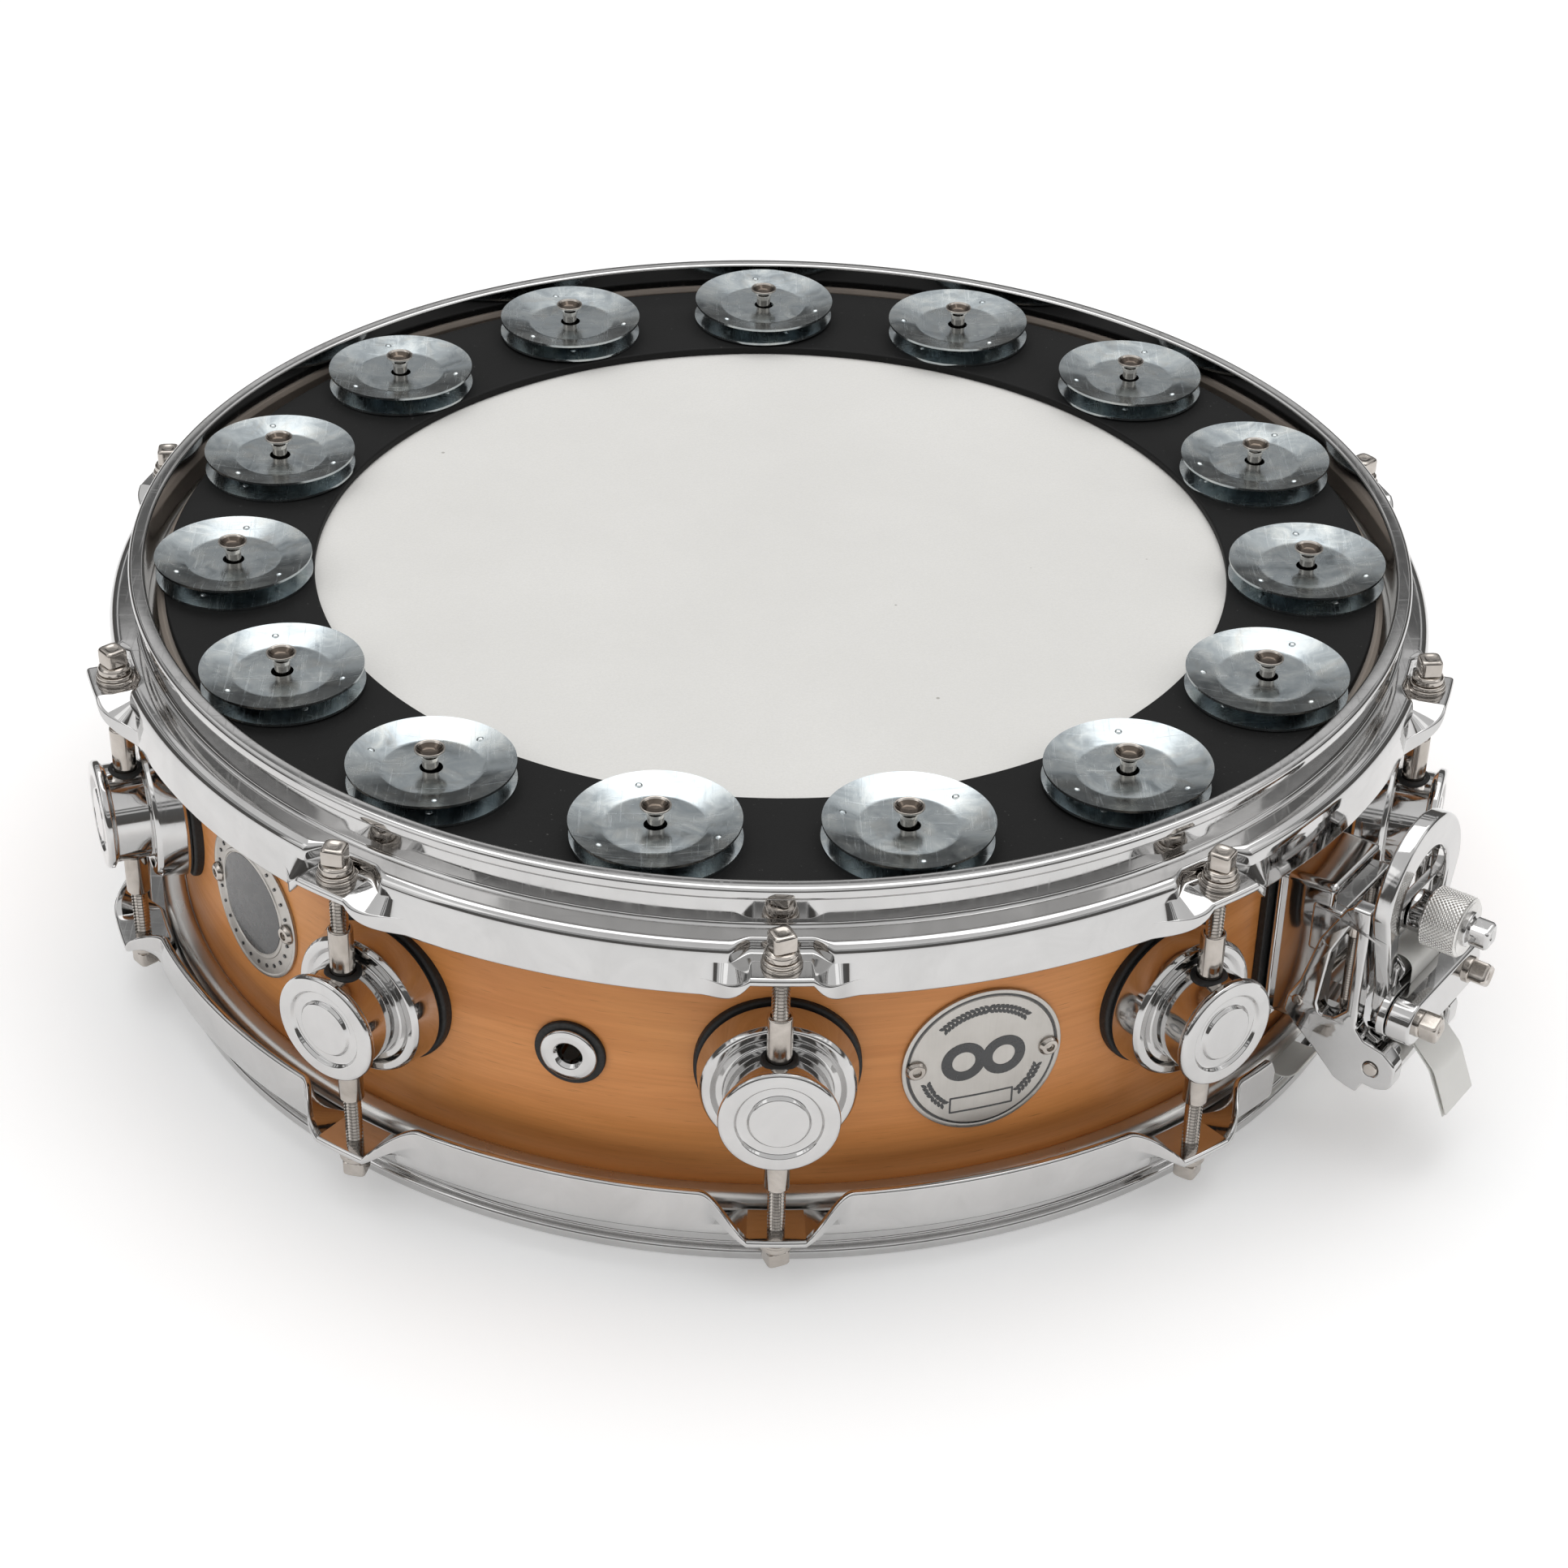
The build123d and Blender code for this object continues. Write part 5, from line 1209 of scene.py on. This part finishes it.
def knurled(name, radius, low, high, matrix):
    """A barrel with diamond knurling and chamfered ends."""
    around, bands = 352, 84
    points, faces = [], []
    rings = [(low, radius - 1.0 * MM, 0), (low + 0.7 * MM, radius - 0.25 * MM, 0)]
    rings += [(low + 0.9 * MM + (high - low - 1.8 * MM) * k / bands, radius, 1) for k in range(bands + 1)]
    rings += [(high - 0.7 * MM, radius - 0.25 * MM, 0), (high, radius - 1.0 * MM, 0)]
    diamonds = 44
    for height, reach, cut_in in rings:
        v = 2 * pi * height * diamonds / (2 * pi * radius)
        for k in range(around):
            u = 2 * pi * k / around * diamonds
            ridge = (1 - abs(cos((u + v) / 2))) * (1 - abs(cos((u - v) / 2)))
            r = reach - cut_in * 0.42 * MM * (1 - min(1, 1.6 * ridge))
            a = 2 * pi * k / around
            points.append((r * cos(a), r * sin(a), height))
    for level in range(len(rings) - 1):
        for k in range(around):
            j = (k + 1) % around
            faces.append((level * around + k, level * around + j, (level + 1) * around + j, (level + 1) * around + k))
    last = (len(rings) - 1) * around
    faces += [tuple(range(around - 1, -1, -1)), tuple(last + k for k in range(around))]
    made = mesh_from(name, points, faces, 50)
    made.data.transform(matrix)
    return made


def build_knob():
    at_knob = facing_out(STRAINER_ANGLE, 0, 75 * MM)
    barrel = knurled("knurled_barrel", 8.7 * MM, 219.0 * MM, 230.4 * MM, at_knob)
    dress(barrel, satin_knurl(), "tension_knob", ["tension_knob"])
    stem = profile(
        [(0, 209.0, 0), (4.6, 209.0, 0.5), (4.6, 210.9, 0.4), (3.0, 210.9, 0), (3.0, 214.5, 0), (6.0, 214.5, 0.6), (6.0, 218.7, 0), (5.0, 218.7, 0), (5.0, 231.3, 0.5), (0, 231.3, 0)],
        4,
        False,
    )
    shaft = lathe("shaft", stem, 40, at_knob, False)
    key = square_key("key", 3.175 * MM, 6.0 * MM, facing_out(STRAINER_ANGLE, 231.3 * MM, 75 * MM), 8)
    dress(joined("knob_shaft", [shaft, key]), chrome(), "tension_knob")


def satin_knurl():
    return once("satin_knurl", lambda n: plated_metal(n, (0.70, 0.69, 0.67), (0.60, 0.59, 0.57), 0.2, 0.32, 2.0))


def build_clamp():
    bar = stadium(45 * MM, 6.7 * MM, (0, 51 * MM))
    back = plate("back", bar, 2.5 * MM, facing_out(STRAINER_ANGLE, 216.8 * MM), edge=0.4 * MM)
    arms = []
    for side in (12.6, -10.6):
        outline = profile([(211.0, 47, 1), (217.2, 47, 1), (217.2, 64, 2), (211.0, 64, 2)], 4)
        arms.append(plate("arm", outline, 2.0 * MM, facing_side(STRAINER_ANGLE, side=side * MM), [circle(1.6 * MM, (214.5 * MM, 61 * MM), 20)], 0.3 * MM))
    dress(joined("carriage_plate", [back, *arms]), chrome(), "strap_carriage", ["strap_carriage"])
    roller = profile([(0, -12.6, 0), (1.5, -12.6, 0.3), (1.5, -10.3, 0), (3.7, -10.3, 0.5), (3.7, 10.3, 0.5), (1.5, 10.3, 0), (1.5, 12.6, 0.3), (0, 12.6, 0)], 4, False)
    drum = lathe("roller_drum", roller, 40, facing_side(STRAINER_ANGLE, 214.5 * MM, 61 * MM), False)
    dress(drum, chrome(), "strap_carriage", ["strap_roller"])
    front = plate("clamp_front", bar, 7.2 * MM, facing_out(STRAINER_ANGLE, 219.5 * MM), edge=0.9 * MM)
    dress(front, chrome(), "strap_carriage", ["clamp_bar"])
    screws = []
    for side, turn in ((-15.4, 22), (15.4, 50)):
        place = facing_out(STRAINER_ANGLE, 226.6 * MM, 51 * MM, side * MM)
        outline = profile([(0, -9.5, 0), (2.0, -9.5, 0), (2.0, 0, 0), (3.9, 0, 0.1), (3.9, 1.3, 0.5), (0, 1.3, 0)], 3, False)
        screws.append(lathe("shank", outline, 28, place, False))
        screws.append(square_key("head", 3.175 * MM, 5.5 * MM, place @ Matrix.Translation((0, 0, 0.8 * MM)), turn))
    dress(joined("clamp_screw_pair", screws), nickel(), "strap_carriage", ["clamp_screws"])
    route = [(208.1, 49.2, 0), (210.3, 60.5, 2), (210.7, 65.1, 3.8), (219.7, 65.1, 3.8), (219.7, 41.5, 5), (228.9, 31.5, 8), (234.9, 17.9, 0)]
    layer = [(219.75, 47, 0), (220.0, 41.5, 4), (230.3, 31.3, 8), (235.6, 18.6, 0)]
    tail = [
        strip("tail", route, 0.4 * MM, 17 * MM, STRAINER_ANGLE),
        strip("tail", layer, 0.3 * MM, 16.6 * MM, STRAINER_ANGLE, 0.1 * MM),
    ]
    dress(joined("strap_free_end", tail), milky_film(), "strap_carriage", ["strap_tail"])


def build_butt():
    outline = profile([(-14, 38, 3), (14, 38, 3), (14, 76, 3), (-14, 76, 3)], 5)
    pieces = [plate("base", outline, 11 * MM, facing_out(BUTT_ANGLE, 180.4 * MM), edge=1.2 * MM)]
    bar = stadium(44 * MM, 6.7 * MM, (0, 46 * MM))
    pieces.append(plate("rest", bar, 1.8 * MM, facing_out(BUTT_ANGLE, 191.4 * MM), edge=0.3 * MM))
    pieces.append(plate("clamp", bar, 6.0 * MM, facing_out(BUTT_ANGLE, 194.1 * MM), edge=0.9 * MM))
    for side, turn in ((-15.4, 12), (15.4, 65)):
        place = facing_out(BUTT_ANGLE, 200.1 * MM, 46 * MM, side * MM)
        pieces.append(square_key("head", 3.175 * MM, 6.0 * MM, place, turn))
    dress(joined("butt_clamp", pieces), chrome(), replaces=["butt_plate"])


# Stage -------------------------------------------------------------------------------------------------------------------------
def soft_light(name, place, target, size, power, colour=(1, 1, 1)):
    data = bpy.data.lights.new(name, "AREA")
    data.shape = "RECTANGLE"
    data.size, data.size_y = size
    data.energy = power
    data.color = colour
    lamp = bpy.data.objects.new(name, data)
    bpy.context.scene.collection.objects.link(lamp)
    lamp.location = place
    lamp.rotation_euler = (Vector(target) - Vector(place)).to_track_quat("-Z", "Y").to_euler()
    return lamp


def build_stage(settings):
    scene = bpy.context.scene
    scene.view_settings.view_transform = "Standard"
    reach = 30.0
    floor = mesh_from("studio_floor", [(-reach, -reach, 0), (reach, -reach, 0), (reach, reach, 0), (-reach, reach, 0)], [(0, 1, 2, 3)])
    made, w, shader, where = new_material("pale_floor")
    haze = w.noise(where.outputs["Object"], 3.0, 2.0, 0.5)
    w.link(w.mix(haze, (0.90, 0.90, 0.90), (0.92, 0.92, 0.92)), shader.inputs["Base Color"])
    shader.inputs["Roughness"].default_value = 0.95
    shader.inputs["Specular IOR Level"].default_value = 0.0
    shader.inputs["Emission Color"].default_value = (1, 1, 1, 1)
    shader.inputs["Emission Strength"].default_value = settings.floor_glow
    floor.data.materials.append(made)

    world = bpy.data.worlds.new("studio")
    scene.world = world
    world.use_nodes = True
    world.node_tree.nodes.clear()
    w = Wiring(world.node_tree)
    where = w.node("ShaderNodeTexCoord")
    apart = w.node("ShaderNodeSeparateXYZ")
    w.link(where.outputs["Generated"], apart.inputs[0])
    height = w.span(apart.outputs[2], -1, 1, 0, 1)
    sky = w.ramp(
        height,
        [(0.0, (0.55, 0.55, 0.55)), (0.50, (0.40, 0.39, 0.38)), (0.52, (0.10, 0.095, 0.09)), (0.69, (0.12, 0.12, 0.12)), (0.70, (0.62, 0.62, 0.62)), (0.722, (0.66, 0.66, 0.66)), (0.728, (0.13, 0.13, 0.13)), (0.747, (0.13, 0.13, 0.13)), (0.753, (0.68, 0.68, 0.68)), (0.770, (0.70, 0.70, 0.70)), (0.776, (0.2, 0.2, 0.2)), (0.79, (0.2, 0.2, 0.2)), (0.80, (0.82, 0.82, 0.82)), (1.0, (0.72, 0.72, 0.72))],
    )
    seen = w.node("ShaderNodeLightPath")
    back = w.node("ShaderNodeBackground")
    w.link(w.mix(seen.outputs["Is Camera Ray"], sky, (1, 1, 1)), back.inputs[0])
    back.inputs[1].default_value = 1.0
    out = w.node("ShaderNodeOutputWorld")
    w.link(back.outputs[0], out.inputs[0])

    strength = settings.light
    soft_light("overhead", (0.1, 0.35, 1.7), (0, 0, 0.1), (1.8, 1.4), 12 * strength)
    soft_light("left_panel", (-1.6, -0.7, 1.0), (0, 0, 0.08), (1.0, 1.4), 2.5 * strength)
    soft_light("right_panel", (1.7, -0.4, 0.9), (0, 0, 0.08), (0.9, 1.3), 2.0 * strength)

    lens = bpy.data.cameras.new("studio_camera")
    lens.lens = 77.91
    lens.sensor_width = 36
    lens.shift_y = 0.1
    camera = bpy.data.objects.new("studio_camera", lens)
    scene.collection.objects.link(camera)
    lift, turn, roll = radians(35.718), radians(-1.740), radians(1.307)
    back = Vector((sin(turn) * cos(lift), -cos(turn) * cos(lift), sin(lift)))
    level = (-back).cross(Vector((0, 0, 1))).normalized()
    rise = level.cross(-back)
    right = level * cos(roll) + rise * sin(roll)
    up = rise * cos(roll) - level * sin(roll)
    camera.matrix_world = matrix_of(right, up, back, Vector((-0.02028, -0.87487, 0.60183)))
    scene.camera = camera


# Add-on ---------------------------------------------------------------------------------------------------------------------
class HoopSettings(bpy.types.PropertyGroup):
    ear_width: FloatProperty(name="Ear width", description="Flat width of an ear at each lug", default=0.0165, min=0.012, max=0.03, unit="LENGTH")
    flare_width: FloatProperty(name="Flare width", description="How far the skirt takes to run into the ear", default=0.0127, min=0.004, max=0.02, unit="LENGTH")


class JingleSettings(bpy.types.PropertyGroup):
    jingle_radius: FloatProperty(name="Jingle radius", description="Radius of each jingle disc", default=0.0225, min=0.015, max=0.024, unit="LENGTH")
    jingle_tilt: FloatProperty(name="Tilt", description="Most that a disc leans, in degrees", default=1.1, min=0.0, max=2.0)
    seed: IntProperty(name="Seed", description="Seed of the lean, turn and shift of the discs", default=7, min=0)


class SnareSettings(bpy.types.PropertyGroup):
    wire_thickness: FloatProperty(name="Wire thickness", description="Diameter of the wire in each coil", default=0.0004, min=0.0002, max=0.0008, unit="LENGTH")


class LeverSettings(bpy.types.PropertyGroup):
    lever_edge: FloatProperty(name="Edge", description="Rounding of the lever's edges", default=0.0011, min=0.0002, max=0.002, unit="LENGTH")


class StageSettings(bpy.types.PropertyGroup):
    light: FloatProperty(name="Light", description="Strength of the soft lights", default=1.0, min=0.0, max=10.0)
    floor_glow: FloatProperty(name="Floor glow", description="How far the floor is lifted towards white", default=0.25, min=0.0, max=2.0)


def operator(key, label, text, work, settings=None):
    """An operator class that runs one builder, with its settings if it has any."""

    def execute(self, context):
        if settings:
            work(getattr(context.scene, settings))
        else:
            work()
        return {"FINISHED"}

    body = {"__doc__": text, "bl_idname": "drum." + key, "bl_label": label, "execute": execute}
    return type("DRUM_OT_" + key, (bpy.types.Operator,), body)


GROUPS = {
    "drum_hoops": HoopSettings,
    "drum_jingles": JingleSettings,
    "drum_snares": SnareSettings,
    "drum_lever": LeverSettings,
    "drum_stage": StageSettings,
}
OPERATORS = [
    operator("shell", "Shell", "Build the wooden shell", build_shell),
    operator("vent", "Vent", "Build the vent grommet", build_vent),
    operator("gaskets", "Gaskets", "Build the rubber sheets on the shell", build_gaskets),
    operator("badges", "Badges", "Build both shell badges and their screws", build_badges),
    operator("heads", "Heads", "Build both heads and their flesh hoops", build_heads),
    operator("hoops", "Hoops", "Build both pressed hoops", build_hoops, "drum_hoops"),
    operator("lugs", "Lugs", "Build the lugs, nuts, tension rods and washers", build_lugs),
    operator("ring", "Jingle ring", "Build the ring and its rivets", build_ring),
    operator("jingles", "Jingles", "Build the pairs of jingle discs", build_jingles, "drum_jingles"),
    operator("snares", "Snares", "Build the snare wires and their straps", build_snares, "drum_snares"),
    operator("housing", "Throw-off housing", "Build the fixed part of the throw-off", build_housing),
    operator("lever", "Throw-off lever", "Build the lever", build_lever, "drum_lever"),
    operator("knob", "Tension knob", "Build the knurled knob", build_knob),
    operator("clamp", "Strap clamp", "Build the carriage, roller, clamp and strap end", build_clamp),
    operator("butt", "Butt plate", "Build the fixed end of the snares", build_butt),
    operator("stage", "Stage", "Build the floor, lights and camera", build_stage, "drum_stage"),
]


class DRUM_PT_panel(bpy.types.Panel):
    bl_label = "Snare drum with jingle ring"
    bl_space_type = "VIEW_3D"
    bl_region_type = "UI"
    bl_category = "Drum"

    def draw(self, context):
        for name, group in GROUPS.items():
            for key in group.__annotations__:
                self.layout.prop(getattr(context.scene, name), key)
        for made in OPERATORS:
            self.layout.operator(made.bl_idname)


def register():
    for made in (*GROUPS.values(), *OPERATORS, DRUM_PT_panel):
        bpy.utils.register_class(made)
    for name, group in GROUPS.items():
        setattr(bpy.types.Scene, name, PointerProperty(type=group))


def unregister():
    for name in GROUPS:
        delattr(bpy.types.Scene, name)
    for made in (DRUM_PT_panel, *reversed(OPERATORS), *GROUPS.values()):
        bpy.utils.unregister_class(made)


def main():
    register()
    for made in OPERATORS:
        getattr(bpy.ops.drum, made.bl_idname.split(".")[1])()


if __name__ == "__main__":
    main()
